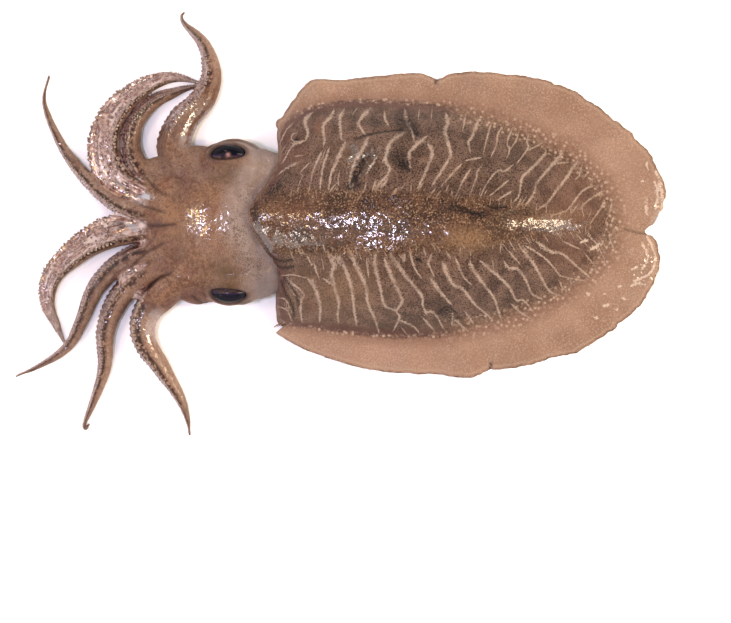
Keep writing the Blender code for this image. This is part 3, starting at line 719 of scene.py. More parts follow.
def mantle_finish():
    f = Finish("zebra_mantle_skin", 0.5)
    speck = f.step(f.noise(0.55, 1, 1), 0.5, 0.62)
    cloud = f.noise(8, 3, 2)
    granule = f.step(f.cells(1.0), 0.2, 0.52, 1, 0)
    # The back between the marks, then the dark grainy band along the middle.
    between = f.mix(f.step(cloud, 0.36, 0.64), tone(98, 74, 60), tone(138, 108, 90))
    between = f.mix(f.math("MULTIPLY", granule, 0.3), between, tone(170, 140, 118))
    between = f.mix(f.math("MULTIPLY", speck, 0.9), between, tone(46, 33, 26))
    band = f.mix(f.step(cloud, 0.38, 0.64), tone(118, 84, 62), tone(78, 55, 41))
    strength = f.step(f.noise(3.5, 2, 3), 0.34, 0.6, 0.35, 1.0)
    band = f.mix(f.math("MULTIPLY", granule, strength), band, tone(182, 148, 116))
    band = f.mix(f.math("MULTIPLY", speck, 0.85), band, tone(30, 20, 13))
    colour = f.mix(f.layer("band"), between, band)
    colour = f.mix(f.math("MULTIPLY", f.layer("red"), 0.55), colour, tone(146, 96, 74))
    tan = f.math("MULTIPLY", f.layer("tan"), f.step(f.noise(1.1, 2, 10), 0.36, 0.58, 0.35, 0.95))
    colour = f.mix(tan, colour, tone(166, 128, 93))
    # Fin: a purplish seam at its root, partly painted shade where the fin meets the mantle, pale dots, and a
    # thin brown rim.
    scatter = f.step(f.noise(5, 2, 16), 0.3, 0.7, 0.3, 0.8)
    dot = f.math("MULTIPLY", f.step(f.cells(1.2, flat=True), 0.1, 0.4, 1, 0), scatter)
    sheet = f.mix(f.step(f.noise(14, 3, 6), 0.34, 0.66), tone(173, 137, 112), tone(191, 155, 129))
    # Pinker skin, and painted light where more light falls on the fin.
    sheet = f.mix(f.math("MULTIPLY", f.layer("pink_and_lit"), 0.8), sheet, tone(199, 160, 136))
    sheet = f.mix(f.math("MULTIPLY", f.step(f.noise(0.5, 1, 17), 0.5, 0.66), 0.35), sheet, tone(132, 96, 75))
    sheet = f.mix(f.math("MULTIPLY", dot, 0.8), sheet, tone(220, 188, 162))
    sheet = f.mix(f.step(f.layer("from_root"), 0.5, 7, 0.6, 0), sheet, tone(148, 108, 88))
    pale = f.math("ABSOLUTE", f.math("SUBTRACT", f.layer("from_margin"), 1.7))
    sheet = f.mix(f.step(pale, 0.1, 0.8, 0.4, 0), sheet, tone(208, 178, 152))
    rim = f.step(f.layer("from_margin"), 0.1, 1.1, 1, 0)
    rim = f.math("MULTIPLY", rim, f.step(f.noise(2.4, 3, 18), 0.4, 0.62, 0.05, 0.75))
    sheet = f.mix(rim, sheet, tone(100, 72, 54))
    ragged = f.step(f.noise(2.2, 3, 19), 0.25, 0.75, -1.8, 1.8)
    out = f.math("ADD", f.layer("from_root"), ragged)
    inner = f.step(f.layer("rear"), 0, 1, -1.2, -8)
    colour = f.mix(f.step(out, inner, f.step(f.layer("rear"), 0, 1, 1.6, 2.5)), colour, sheet)
    # The purplish seam at the fin root: partly skin colour, partly painted shade in the crease.
    seam = f.math("ABSOLUTE", f.math("ADD", f.layer("from_root"), 0.9))
    seam = f.math("MULTIPLY", f.step(seam, 0.3, 3.4, 0.75, 0), f.layer("seam"))
    colour = f.mix(seam, colour, tone(112, 78, 70))
    spot = f.step(f.cells(2.5, flat=True), 0.14, 0.34, 1, 0)
    spot = f.math("MULTIPLY", spot, f.step(f.noise(4, 2, 22), 0.4, 0.56, 0.2, 1))
    small_spot = f.step(f.cells(1.5, flat=True), 0.12, 0.34, 1, 0)
    spot = f.math("MAXIMUM", spot, f.math("MULTIPLY", small_spot, 0.35))
    colour = f.mix(f.math("MULTIPLY", spot, f.layer("spotted")), colour, tone(208, 177, 152))
    # Cream flecks and painted glints on the fin's wet end.
    cream_and_glint = f.math("ADD", f.layer("cream_and_glint"), f.step(f.noise(0.9, 2, 21), 0.3, 0.7, -0.3, 0.3))
    cream_and_glint = f.step(cream_and_glint, 0.4, 0.7)
    colour = f.mix(f.math("MULTIPLY", cream_and_glint, 0.9), colour, tone(240, 214, 190))
    # Pale marks, grainy and uneven.
    ragged = f.step(f.noise(0.8, 3, 4, 0.65), 0.2, 0.8, -1.1, 1.1)
    side = f.math("ADD", f.math("ABSOLUTE", f.layer("mark_side")), ragged)
    mark = f.step(side, 0.2, 1.5, 0.9, 0)
    mark = f.math("MULTIPLY", mark, f.step(f.layer("mark_near"), 0.9, 1.7, 1, 0))
    mark = f.math("MULTIPLY", mark, f.step(f.noise(4.5, 2, 5), 0.3, 0.56, 0.45, 1))
    colour = f.mix(mark, colour, f.mix(f.layer("band"), tone(208, 181, 159), tone(172, 138, 108)))
    # Dark patches, and painted shade along the creases.
    spatter = f.step(f.noise(0.9, 2, 7, 0.7), 0.45, 0.55, 0.15, 1)
    dark = f.math("MULTIPLY", f.math("MULTIPLY", f.layer("dark"), 1.6), spatter)
    dark = f.math("MAXIMUM", dark, f.math("MULTIPLY", f.layer("crack"), 0.9))
    colour = f.mix(f.math("MINIMUM", dark, 0.95), colour, tone(30, 24, 22))
    colour = f.mix(f.layer("belly"), colour, tone(206, 190, 176))
    # Relief and wetness.
    normal = f.bump(f.noise(1.6, 3, 8), 0.10)
    normal = f.bump(mark, 0.12, normal)
    beads = f.math("MULTIPLY", f.noise(0.8, 1, 20), f.layer("grit"))
    ripples = f.math("ADD", f.noise(1.7, 1, 9), f.math("MULTIPLY", f.noise(3.4, 1, 33), 1.2))
    film = f.bump(f.math("ADD", ripples, beads), FILM_DEPTH, normal)
    wet = f.math("ADD", f.layer("wet"), f.step(f.noise(3, 2, 35), 0.35, 0.65, -0.35, 0.1))
    return f.done(Base_Color=colour, Normal=normal, Coat_Weight=f.step(wet, 0.1, 0.35, 0.04, 1.0),
                  Coat_Normal=film, Coat_IOR=1.65, **FLESH)


def head_finish():
    f = Finish("head_and_arm_skin", 0.5)
    speck = f.step(f.noise(0.6, 1, 11), 0.52, 0.64)
    cloud = f.noise(9, 3, 12)
    mottle = f.step(f.noise(2.0, 4, 23, 0.7), 0.4, 0.6)
    skin = f.mix(f.step(cloud, 0.35, 0.65), tone(112, 76, 60), tone(146, 104, 80))
    skin = f.mix(f.math("MULTIPLY", mottle, 0.7), skin, tone(178, 138, 108))
    skin = f.mix(f.step(f.noise(4.5, 3, 36), 0.5, 0.7, 0, 0.45), skin, tone(132, 76, 60))
    skin = f.mix(f.step(f.noise(11, 2, 37), 0.42, 0.62, 0, 0.55), skin, tone(172, 140, 120))
    skin = f.mix(f.step(f.noise(9, 2, 38), 0.5, 0.66, 0, 0.5), skin, tone(122, 84, 76))
    skin = f.mix(f.math("MULTIPLY", f.layer("tan"), 0.8), skin, tone(176, 134, 98))
    skin = f.mix(f.math("MULTIPLY", f.layer("plum"), 0.7), skin, tone(110, 82, 78))
    skin = f.mix(f.math("MULTIPLY", speck, 0.5), skin, tone(88, 62, 50))
    skin = f.mix(f.math("MULTIPLY", f.layer("olive"), 0.75), skin, tone(98, 76, 52))
    nape = f.mix(f.layer("lilac"), tone(188, 168, 156), tone(144, 134, 138))
    nape = f.mix(f.math("MULTIPLY", f.step(f.noise(3, 3, 24), 0.4, 0.6), 0.3), nape, tone(150, 122, 104))
    skin = f.mix(f.math("MULTIPLY", f.layer("nape"), 0.85), skin, nape)
    freckle = f.math("ADD", f.cells(0.75), f.step(f.noise(2.5, 2, 25), 0.3, 0.7, -0.15, 0.15))
    freckle = f.math("MULTIPLY", f.step(freckle, 0.34, 0.5, 1, 0), f.math("MAXIMUM", f.layer("dotted"), 0.3))
    skin = f.mix(f.math("MULTIPLY", freckle, 0.6), skin, tone(82, 58, 48))
    skin = f.mix(f.math("MULTIPLY", f.layer("lid"), 0.25), skin, tone(190, 172, 160))
    skin = f.mix(f.math("MULTIPLY", f.layer("shadow"), 0.9), skin, tone(48, 34, 38))
    arm = f.mix(f.layer("shade"), tone(114, 79, 68), tone(178, 138, 113))
    arm = f.mix(f.math("MULTIPLY", f.step(cloud, 0.35, 0.65), 0.3), arm, tone(188, 156, 128))
    arm = f.mix(f.math("MULTIPLY", mottle, 0.4), arm, tone(204, 170, 146))
    arm = f.mix(f.math("MULTIPLY", speck, 0.55), arm, tone(98, 64, 54))
    arm = f.mix(f.step(f.layer("along"), 0.72, 1, 0, 0.65), arm, tone(96, 66, 56))
    colour = f.mix(f.layer("free"), skin, arm)
    flesh = f.mix(f.step(f.noise(2.0, 3, 13), 0.4, 0.6), tone(150, 96, 82), tone(206, 164, 144))
    # Ridges and furrows along the sucker face, drawn out lengthwise and painted in colour only: pale ridges
    # partly painted highlight, dark furrows partly painted shade.
    across, run = f.math("MULTIPLY", f.layer("across"), 1.9), f.math("MULTIPLY", f.layer("run"), 0.11)
    lengthwise = f.vector(across, run)
    folds = f.noise(1 / MM, 3, 30, place=lengthwise)
    flesh = f.mix(f.step(folds, 0.53, 0.61, 0, 0.9), flesh, tone(236, 208, 196))
    furrow_shade = f.step(f.math("ABSOLUTE", f.math("SUBTRACT", folds, 0.49)), 0.006, 0.028, 0.9, 0)
    flesh = f.mix(furrow_shade, flesh, tone(74, 34, 32))
    flesh = f.mix(f.step(f.layer("along"), 0.75, 1, 0, 0.5), flesh, tone(112, 76, 66))
    colour = f.mix(f.layer("face"), colour, flesh)
    skirt = f.mix(f.step(f.noise(1.6, 2, 26), 0.46, 0.58), tone(84, 54, 48), tone(192, 164, 144))
    colour = f.mix(f.layer("web"), colour, skirt)
    # A broken dark line in the groove along the sucker face's edge: partly dark skin, partly painted shade.
    wine_and_groove_shade = f.math("MULTIPLY", f.layer("edge"), f.step(f.noise(1.5, 2, 14), 0.4, 0.5))
    colour = f.mix(f.math("MULTIPLY", wine_and_groove_shade, 0.95), colour, tone(38, 20, 22))
    # Painted shade along the head's creases and between the arms' roots.
    colour = f.mix(f.math("MULTIPLY", f.layer("crack"), 0.65), colour, tone(56, 38, 36))
    # Painted highlights of the wet pools.
    pool_highlight = f.math("ADD", f.layer("pool_highlight"), f.step(f.noise(1.5, 3, 29), 0.2, 0.8, -0.4, 0.4))
    pool_highlight = f.step(pool_highlight, 0.35, 0.7)
    colour = f.mix(pool_highlight, colour, tone(196, 190, 194))
    normal = f.bump(f.noise(1.4, 3, 15), 0.12)
    beads = f.math("MULTIPLY", f.noise(0.9, 1, 28), f.layer("grit"))
    ripples = f.math("ADD", f.noise(2.0, 1, 27), f.math("MULTIPLY", f.noise(3.6, 1, 34), 1.2))
    film = f.bump(f.math("ADD", ripples, beads), 1.2 * FILM_DEPTH, normal)
    wet = f.math("MAXIMUM", f.math("MULTIPLY", f.layer("free"), 0.3), f.layer("face"))
    wet = f.math("MAXIMUM", f.layer("wet"), wet)
    return f.done(Base_Color=colour, Normal=normal, Coat_Weight=f.step(wet, 0.15, 0.7, 0.03, 1.0),
                  Coat_Normal=film, Coat_IOR=1.85, **FLESH)


def sucker_finish():
    f = Finish("sucker_flesh", 0.3)
    colour = f.mix(f.layer("hollow"), tone(208, 178, 162), tone(150, 110, 98))
    colour = f.mix(f.step(f.noise(3, 2, 21), 0.42, 0.58, 0, 0.85), colour, tone(138, 98, 86))
    colour = f.mix(f.math("MULTIPLY", f.layer("at_rim"), 0.8), colour, tone(180, 152, 130))
    return f.done(Base_Color=colour, Normal=f.bump(f.noise(0.8, 2, 22), 0.05), Coat_Weight=1.0,
                  Coat_IOR=1.7, **FLESH)


def eye_finish():
    f = Finish("wet_eye", 0.25)
    iris = f.mix(f.step(f.noise(1.2, 3, 32), 0.4, 0.6), tone(60, 44, 42), tone(92, 70, 58))
    fringe = f.math("MULTIPLY", f.step(f.layer("pupil"), 0, 0.5), f.step(f.layer("pupil"), 0.5, 1, 1, 0))
    iris = f.mix(fringe, iris, tone(66, 44, 92))
    colour = f.mix(f.step(f.layer("pupil"), 0.3, 0.8), iris, tone(10, 9, 22))
    # A pinkish notch in the pupil, partly painted highlight.
    colour = f.mix(f.layer("notch_glint"), colour, tone(196, 150, 136))
    # A slate veil over the eye: partly the lid's skin, partly painted sheen.
    haze_and_sheen = f.math("MULTIPLY", f.layer("veil_and_sheen"), f.step(f.noise(3, 2, 33), 0.3, 0.7, 0.5, 1))
    colour = f.mix(haze_and_sheen, colour, tone(54, 49, 66))
    return f.done(Base_Color=colour, Normal=f.bump(f.noise(2.5, 2, 31), 0.03), Coat_Weight=0.12,
                  Coat_Roughness=0.03, Specular_IOR_Level=0.03)


def floor_finish():
    f = Finish("pale_floor", 0.9)
    colour = f.mix(f.noise(200, 2, 41), (0.95, 0.95, 0.95, 1), (0.97, 0.97, 0.97, 1))
    return f.done(Base_Color=colour, Specular_IOR_Level=0.0)


# ---- Mantle --------------------------------------------------------------------------
def mantle_surface(angle, reach, upper):
    """Points of the mantle. reach runs from 0 in the middle to 1 at the fin's margin."""
    sac_radius = radius_at(SAC, angle)
    margin = np.maximum(fin_margin(angle), sac_radius + LIP_WIDTH)
    across = sac_radius * np.sin(angle) / LIP_HALF_WIDTH
    front = smoothstep((-np.cos(angle) - FRONT_STARTS) / (FRONT_FULL - FRONT_STARTS))
    lift = np.maximum(1 - across**2, 0) ** LIP_ROUNDNESS * front
    mouth = smoothstep(MOUTH_WIDENING * lift)
    root = FIN_ROOT_HEIGHT + (LIP_HEIGHT - FIN_ROOT_HEIGHT) * lift
    root_thickness = FIN_ROOT_THICKNESS + (LIP_THICKNESS - FIN_ROOT_THICKNESS) * lift
    sac_radius = sac_radius - np.where(upper, 0, LIP_SETBACK * mouth)
    share = np.minimum(reach / SAC_SHARE, 1)
    out = np.maximum(reach - SAC_SHARE, 0) / (1 - SAC_SHARE)
    radius = share * sac_radius + out * (margin - sac_radius)
    x = BODY_CENTRE[0] + radius * np.cos(angle)
    y = BODY_CENTRE[1] + radius * np.sin(angle)
    sole = (FIN_ROOT_HEIGHT - FIN_ROOT_THICKNESS / 2) * (1 - mouth)

    ripple = FIN_RIPPLE * np.sin(FIN_RIPPLES * angle) * (1 - lift)
    end = FIN_MARGIN_HEIGHT + ripple + (root - FIN_ROOT_HEIGHT) * LIP_EDGE
    middle = end + (root - end) * (1 - out) ** FIN_DROOP
    thickness = root_thickness + (FIN_MARGIN_THICKNESS - root_thickness) * out
    thickness = thickness * np.sqrt(np.maximum(1 - out**MARGIN_ROUNDNESS, 0))
    fin_top = middle + thickness / 2
    fin_sole = middle - thickness / 2 - (root - root_thickness / 2 - sole) * (1 - out)

    low = root + root_thickness / 2
    back = BACK_HEIGHT - BACK_FALL * (x - BACK_PEAK_X) ** 2
    ridge = BONE_RIDGE * np.exp(-(((y - BODY_CENTRE[1]) / BONE_HALF_WIDTH) ** 4)) * (1 - share**4)
    sac_top = low + (back - low) * (1 - share**BACK_FULLNESS) + ridge
    belly = sole * (np.maximum(share - BELLY_FLAT, 0) / (1 - BELLY_FLAT)) ** 2
    z = np.where(upper, np.where(out > 0, fin_top, sac_top), np.where(out > 0, fin_sole, belly))
    return np.stack([x, y, z], axis=1)


def make_mantle():
    bm = bmesh.new()
    rings = BACK_RINGS + BELLY_RINGS
    bmesh.ops.create_uvsphere(bm, u_segments=MERIDIANS, v_segments=rings, radius=1)
    piece = make_piece("mantle_skin", bm, mantle_finish(), "mantle")
    mesh = piece.data
    ball = mesh_points(mesh) * MM
    # Meridians are spaced evenly along the margin, and most rings are on the back.
    angles = np.linspace(-math.pi, math.pi, 1441)
    reach = np.maximum(radius_at(FIN, angles), radius_at(SAC, angles))
    along = lengths(np.stack([np.cos(angles) * reach, np.sin(angles) * reach], axis=1))
    turn = along / along[-1] * 2 * math.pi - math.pi
    angle = np.interp(np.arctan2(ball[:, 1], ball[:, 0]), turn, angles)
    ring = np.arccos(np.clip(ball[:, 2], -1, 1)) / math.pi * rings
    upper = ring <= BACK_RINGS + 0.01
    reach = np.where(upper, ring / BACK_RINGS, (rings - ring) / BELLY_RINGS)
    points = mantle_surface(angle, np.clip(reach, 0, 1), upper)
    x, y = points[:, 0], points[:, 1]

    radius = np.hypot(x - BODY_CENTRE[0], y - BODY_CENTRE[1])
    margin = np.maximum(fin_margin(angle), radius_at(SAC, angle) + LIP_WIDTH)
    side, near = nearest_mark(x, y, RIGHT_MARKS + LEFT_MARKS + band_flecks())
    _, crease = nearest_mark(x, y, CREASES)
    crack = np.exp(-((crease / 0.55) ** 2))
    # Distance from the painted glint lines.
    _, film = nearest_mark(x, y, PAINTED_GLINT_LINES)
    dark, wet = patches(x, y, DARK_PATCHES), patches(x, y, WET_PATCHES)
    set_points(mesh, points)
    shift = 0.3 * grain(points, 9, 1) + (0.07 + 0.12 * wet) * grain(points, 2.4, 2)
    shift += 0.12 * (1 - smoothstep(np.abs(side) - 0.5)) - 0.3 * dark - 0.55 * crack
    shift += 0.8 * patches(x, y, TAN_PATCHES[:1])
    shift[~upper] = 0
    set_points(mesh, points + mesh_normals(mesh) * shift[:, None])

    band = smoothstep((band_half_width(x) + 1.5 * grain(points, 4, 5) - np.abs(y)) / 5 + 0.5)
    paint(mesh, "mark_side", side)
    paint(mesh, "mark_near", near)
    paint(mesh, "from_root", radius - edge_of_skin(angle))
    # How much painted shade each crease gets, less at the fin's end.
    paint(mesh, "crack", crack * np.interp(x, (110, 122), (1, 0.45)))
    paint(mesh, "from_margin", margin - radius)
    paint(mesh, "band", band * np.interp(x, (50, 105), (1, 0.5)))
    paint(mesh, "dark", dark)
    paint(mesh, "cream_and_glint", np.maximum(patches(x, y, FIN_FLECKS_AND_GLINTS), np.exp(-((film / 0.6) ** 2))))
    paint(mesh, "pink_and_lit", patches(x, y, PINK_AND_LIT_PATCHES))
    paint(mesh, "rear", rear_share(angle))
    paint(mesh, "spotted", spotted_zone(angle, radius - edge_of_skin(angle)))
    paint(mesh, "tan", patches(x, y, TAN_PATCHES))
    paint(mesh, "red", patches(x, y, RED_PATCHES))
    paint(mesh, "wet", wet)
    paint(mesh, "grit", patches(x, y, GRIT_PATCHES))
    paint(mesh, "seam", smoothstep((70 - x) / 50) * smoothstep((x + 40) / 12))
    paint(mesh, "belly", np.where(upper, 0, 1))


def rear_share(angle):
    """0 on the front half of the mantle, rising to 1 at its rear."""
    return smoothstep((np.cos(angle) + 0.1) / 0.6)


def spotted_zone(angle, out):
    """Where pale spots lie, that far out from the skin's edge: wide at the rear, narrow in front."""
    rear = rear_share(angle)
    in_front = 1 - smoothstep((np.abs(out - 0.6) - 0.5) / 1.6)
    at_rear = 1 - smoothstep((np.abs(out + 1.5) - 4) / 3)
    return (in_front + (at_rear - in_front) * rear) * smoothstep((np.cos(angle) + 0.9) / 0.15)


def band_half_width(x):
    """Half the width of the dark band along the back's middle."""
    return np.interp(x, (-40, 20, 60, 90, 115), (14, 14, 11, 6, 3))


# ---- Arms and head -------------------------------------------------------------------
def arm_stations(arm):
    """Centre, radius and axes (side, sucker direction, way ahead) at stations along an arm."""
    way = evenly(smooth_line(arm["way"]), ARM_STATIONS)
    ahead = np.gradient(way, axis=0)
    for number, (point, direction) in enumerate(zip(way, ahead)):
        share = number / (ARM_STATIONS - 1)
        full = max(1 - share ** arm["fullness"], 0) ** ARM_TAPER
        radius = max(arm["width"] / WIDTH_IN_RADII * full, ARM_TIP_RADIUS)
        down = smoothstep(share / arm["drop"])
        height = arm["root"] * (1 - down) + radius * RESTING_HEIGHT * down
        forward = Vector((*direction, 0)).normalized()
        right = forward.cross(Vector((0, 0, 1)))
        turn = Matrix.Rotation(math.radians(arm["turn"]), 3, forward)
        yield Vector((*point, height)), radius, turn @ right, turn @ Vector((0, 0, -1)), forward


def station_matrix(centre, radius, side, suckers, forward):
    axes = Matrix((side * radius, -suckers * radius, forward * radius)).transposed()
    return Matrix.Translation(centre * MM) @ (axes * MM).to_4x4()


def ring_corner(angle, travelled, share):
    """A corner of the arm's cross-section, in radii: round back, thin skirts, folded sucker face."""
    x, y = math.cos(angle), math.sin(angle)
    if y > -SUCKER_FACE:
        groove = math.exp(-(((y + 0.3) / 0.14) ** 2))
        return Vector((x * (1 - GROOVE * groove), y, 0))
    web = WEB_WIDTH * float(smoothstep((share - WEB_STARTS) / 0.1))
    web *= 0.6 + 0.4 * math.cos(2 * math.pi * travelled / WEB_SCALLOP)
    across = x / math.cos(math.asin(SUCKER_FACE))
    at_edge = float(smoothstep((abs(across) - 0.8) / 0.2))
    root = 1 - float(smoothstep(share / FOLDS_END))
    fold = FOLD_DEPTH * (math.cos(FOLDS * math.pi * across + 2.5 * share) * root + 1 - at_edge)
    return Vector((x * (1 + web * at_edge), -SUCKER_FACE - 0.5 * web * at_edge + fold * (1 - at_edge), 0))


def add_arm(bm, stations):
    """A sphere drawn out along the arm, one ring to each station."""
    travelled = lengths(np.array([station[0] for station in stations]))
    last = len(stations) - 1
    made = bmesh.ops.create_uvsphere(bm, u_segments=ARM_SIDES, v_segments=last, radius=1)
    for vertex in made["verts"]:
        ring = round(math.acos(max(-1, min(1, vertex.co.z))) / math.pi * last)
        place = station_matrix(*stations[ring])
        if ring in (0, last):
            vertex.co = place.translation
            continue
        angle = math.atan2(vertex.co.y, vertex.co.x)
        vertex.co = place @ ring_corner(angle, travelled[ring], ring / last)


def add_ellipsoid(bm, centre, radii, sides=48, turn=None):
    place = Matrix.Translation(Vector(centre) * MM) @ (turn or Matrix.Identity(4))
    size = Matrix.Diagonal((*(Vector(radii) * MM), 1))
    bmesh.ops.create_uvsphere(bm, u_segments=sides, v_segments=sides // 2, radius=1, matrix=place @ size)


def soften(piece, factor, rounds, weights):
    """Smooths the piece's mesh, by as much as each vertex's weight says."""
    group = piece.vertex_groups.new(name="softness")
    for number, weight in enumerate(weights):
        group.add([number], float(weight), "REPLACE")
    modifier = piece.modifiers.new("soften", "SMOOTH")
    modifier.factor = factor
    modifier.iterations = rounds
    modifier.vertex_group = group.name
    apply_modifiers(piece)
    piece.vertex_groups.clear()


def arm_share(points):
    """0 on the head, rising to 1 where the arms are free of it."""
    ahead = (ARMS_FREE_X - points[:, 0]) / ARMS_BLEND_X
    aside = np.maximum(np.abs(points[:, 1]) - ARMS_FREE_Y, 0) / ARMS_BLEND_Y
    return smoothstep(ahead + aside)


def eye_distance(points, eye):
    """Distance from the eye's middle in its own radii, and the offset in its own axes."""
    turn = np.array(Matrix.Rotation(math.radians(eye["tilt"]), 3, "X"))
    local = (points - np.array(eye["centre"])) @ turn / np.array(EYE_RADII)
    return np.linalg.norm(local, axis=1), local


def make_head(arms):
    bm = bmesh.new()
    for centre, radii in HEAD_LOBES:
        add_ellipsoid(bm, centre, radii)
    for stations in arms.values():
        add_arm(bm, stations)
    bmesh.ops.recalc_face_normals(bm, faces=bm.faces)
    head = make_piece("head_and_arms", bm, head_finish(), "head")
    melt = head.modifiers.new("melt", "REMESH")
    melt.mode = "VOXEL"
    melt.voxel_size = HEAD_VOXEL * MM
    apply_modifiers(head)
    soften(head, 0.5, HEAD_SMOOTHING, 1 - (1 - ARM_SMOOTHING) * arm_share(mesh_points(head.data)))
    thin = head.modifiers.new("thin", "DECIMATE")
    thin.ratio = HEAD_TRIANGLES / (2 * len(head.data.polygons))
    apply_modifiers(head)

    mesh = head.data
    mesh.shade_smooth()
    points = mesh_points(mesh)
    x, y = points[:, 0], points[:, 1]
    free = arm_share(points)
    face, edge, web, along, shade, across, run = arm_fields(points, arms)
    _, crease = nearest_mark(x, y, HEAD_CREASES)
    crack = np.exp(-((crease / 0.6) ** 2)) * (points[:, 2] > 6)
    shift = 0.22 * grain(points, 5, 3) + 0.07 * grain(points, 1.8, 4) - 0.5 * crack
    lid, socket, shadow = (np.zeros(len(points)) for _ in range(3))
    for eye in EYES.values():
        away, local = eye_distance(points, eye)
        outer = local[:, 2] > 0
        beyond = smoothstep(local[:, 1] * math.copysign(1, eye["centre"][1]) + 0.4)
        lid = np.maximum(lid, np.exp(-(((away - LID_PLACE) / LID_WIDTH) ** 2)) * outer * beyond)
        socket = np.maximum(socket, (1 - smoothstep((away - 1.04) / 0.14)) * outer)
        shadow = np.maximum(shadow, (1 - smoothstep((away - 1.0) / 0.34)) * outer)
    shift += LID_RISE * lid - SOCKET_DEPTH * socket
    points = points + mesh_normals(mesh) * shift[:, None]
    points[:, 2] = np.maximum(points[:, 2], 0)
    set_points(mesh, points)
    nape = x - np.interp(y, *NAPE) + 3 * grain(points, 8, 6) + 1.2 * grain(points, 2.5, 9)
    paint(mesh, "face", face * smoothstep(free * 3))
    paint(mesh, "edge", edge * smoothstep(free * 3))
    paint(mesh, "web", web * smoothstep(free * 3))
    paint(mesh, "along", along)
    paint(mesh, "shade", shade)
    paint(mesh, "free", free)
    paint(mesh, "crack", crack)
    paint(mesh, "lid", lid)
    paint(mesh, "shadow", shadow)
    paint(mesh, "nape", smoothstep(1 + nape / NAPE_FADES) * smoothstep((points[:, 2] - 6) / 6))
    paint(mesh, "tan", patches(x, y, HEAD_TAN))
    paint(mesh, "olive", patches(x, y, HEAD_OLIVE))
    paint(mesh, "plum", patches(x, y, HEAD_PLUM))
    paint(mesh, "wet", patches(x, y, HEAD_WET))
    paint(mesh, "grit", patches(x, y, HEAD_GRIT))
    paint(mesh, "pool_highlight", patches(x, y, HEAD_POOL_HIGHLIGHTS))
    paint(mesh, "lilac", patches(x, y, HEAD_LILAC))
    paint(mesh, "dotted", patches(x, y, HEAD_DOTS))
    paint(mesh, "across", across)
    paint(mesh, "run", run)


def arm_fields(points, arms):
    """Where each point is on its nearest arm: on the sucker face, in the groove at its edge,
    on the skirt outside it, how far along, the arm's shade, its place across and its way in mm."""
    best = np.full(len(points), 1e9)
    face, edge, web, along, shade, aside, run = (np.zeros(len(points)) for _ in range(7))
    for name, stations in arms.items():
        centres = np.array([station[0] for station in stations])
        radii = np.array([station[1] for station in stations])
        sides = np.array([station[2] for station in stations])
        downs = np.array([station[3] for station in stations])
        travelled = lengths(centres)
        distance = np.full(len(points), 1e9)
        station = np.zeros(len(points), int)
        tree = kdtree.KDTree(len(centres))
        for number, centre in enumerate(centres):
            tree.insert(centre, number)
        tree.balance()
        lowest, highest = centres.min(0) - 12, centres.max(0) + 12
        for number in np.flatnonzero(np.all((points > lowest) & (points < highest), axis=1)):
            _, station[number], distance[number] = tree.find(points[number])
        gap = distance / radii[station]
        nearest = gap < best
        best[nearest] = gap[nearest]
        off = (points - centres[station]) / radii[station][:, None]
        down = np.sum(off * downs[station], axis=1)
        off_side = np.sum(off * sides[station], axis=1)
        across = np.abs(off_side)
        on_face = smoothstep((down - 0.34) / 0.14) * smoothstep((0.84 - across) / 0.12)
        at_edge = np.exp(-(((down - 0.22) / 0.19) ** 2)) * smoothstep((across - 0.6) / 0.2)
        on_web = smoothstep((down - 0.3) / 0.14) * smoothstep((across - 0.78) / 0.12)
        face[nearest] = on_face[nearest]
        edge[nearest] = at_edge[nearest]
        web[nearest] = on_web[nearest]
        along[nearest] = station[nearest] / (ARM_STATIONS - 1)
        shade[nearest] = ARMS[name]["shade"]
        aside[nearest] = off_side[nearest]
        run[nearest] = travelled[station[nearest]]
    return face, edge, web, along, shade, aside, run


# ---- Suckers -------------------------------------------------------------------------
def make_cup():
    """One sucker with a rim and a dished face, one unit in radius, and how deep each vertex lies in it."""
    bm = bmesh.new()
    bmesh.ops.create_cone(bm, cap_ends=True, segments=CUP_SIDES, radius1=0.75, radius2=1, depth=1.2)
    bm.faces.ensure_lookup_table()
    top = max(bm.faces, key=lambda face: face.calc_center_median().z)
    bmesh.ops.inset_region(bm, faces=[top], thickness=0.3, depth=0.12)
    bmesh.ops.inset_region(bm, faces=[top], thickness=0.2, depth=-0.5)
    mesh = bpy.data.meshes.new("cup")
    bm.to_mesh(mesh)
    hollow = [float(vertex.co.xy.length < 0.62 and vertex.co.z > -0.1) for vertex in bm.verts]
    bm.free()
    return mesh, hollow


def make_suckers(arms, finish):
    """Close rows of cups on each arm's sucker face, one piece for each arm."""
    cup, hollow = make_cup()
    dice = random.Random(5)
    for name, stations in arms.items():
        bm = bmesh.new()
        travelled = lengths(np.array([station[0] for station in stations]))
        at_rim = []
        for row, size, lean in SUCKER_ROWS:
            at = travelled[-1] * (SUCKER_FIRST + dice.uniform(0, 0.02))
            while at < travelled[-1] * SUCKER_LAST:
                number = int(np.searchsorted(travelled, at))
                centre, radius, side, suckers, forward = stations[number]
                cup_radius = max(size * radius * dice.uniform(0.6, 1.2), SMALLEST_SUCKER)
                place = centre + side * (row + dice.uniform(-0.08, 0.08)) * radius
                place += suckers * (SUCKER_FACE - FOLD_DEPTH * (abs(row) < 1)) * radius
                at += size * radius * SUCKER_SPACING * dice.uniform(0.8, 1.3) + SMALLEST_SUCKER
                if place.z < cup_radius:
                    continue
                facing = Matrix.Rotation(math.radians(-lean), 3, forward) @ suckers
                turn = facing.to_track_quat("Z", "Y").to_matrix() * cup_radius * MM
                bm.from_mesh(cup)
                bm.verts.ensure_lookup_table()
                place = Matrix.Translation(place * MM) @ turn.to_4x4()
                bmesh.ops.transform(bm, matrix=place, verts=bm.verts[-len(hollow):])
                at_rim += [float(abs(row) > 0.9)] * len(hollow)
        piece = make_piece(f"suckers_{name}", bm, finish)
        paint(piece.data, "hollow", hollow * (len(at_rim) // len(hollow)))
        paint(piece.data, "at_rim", at_rim)


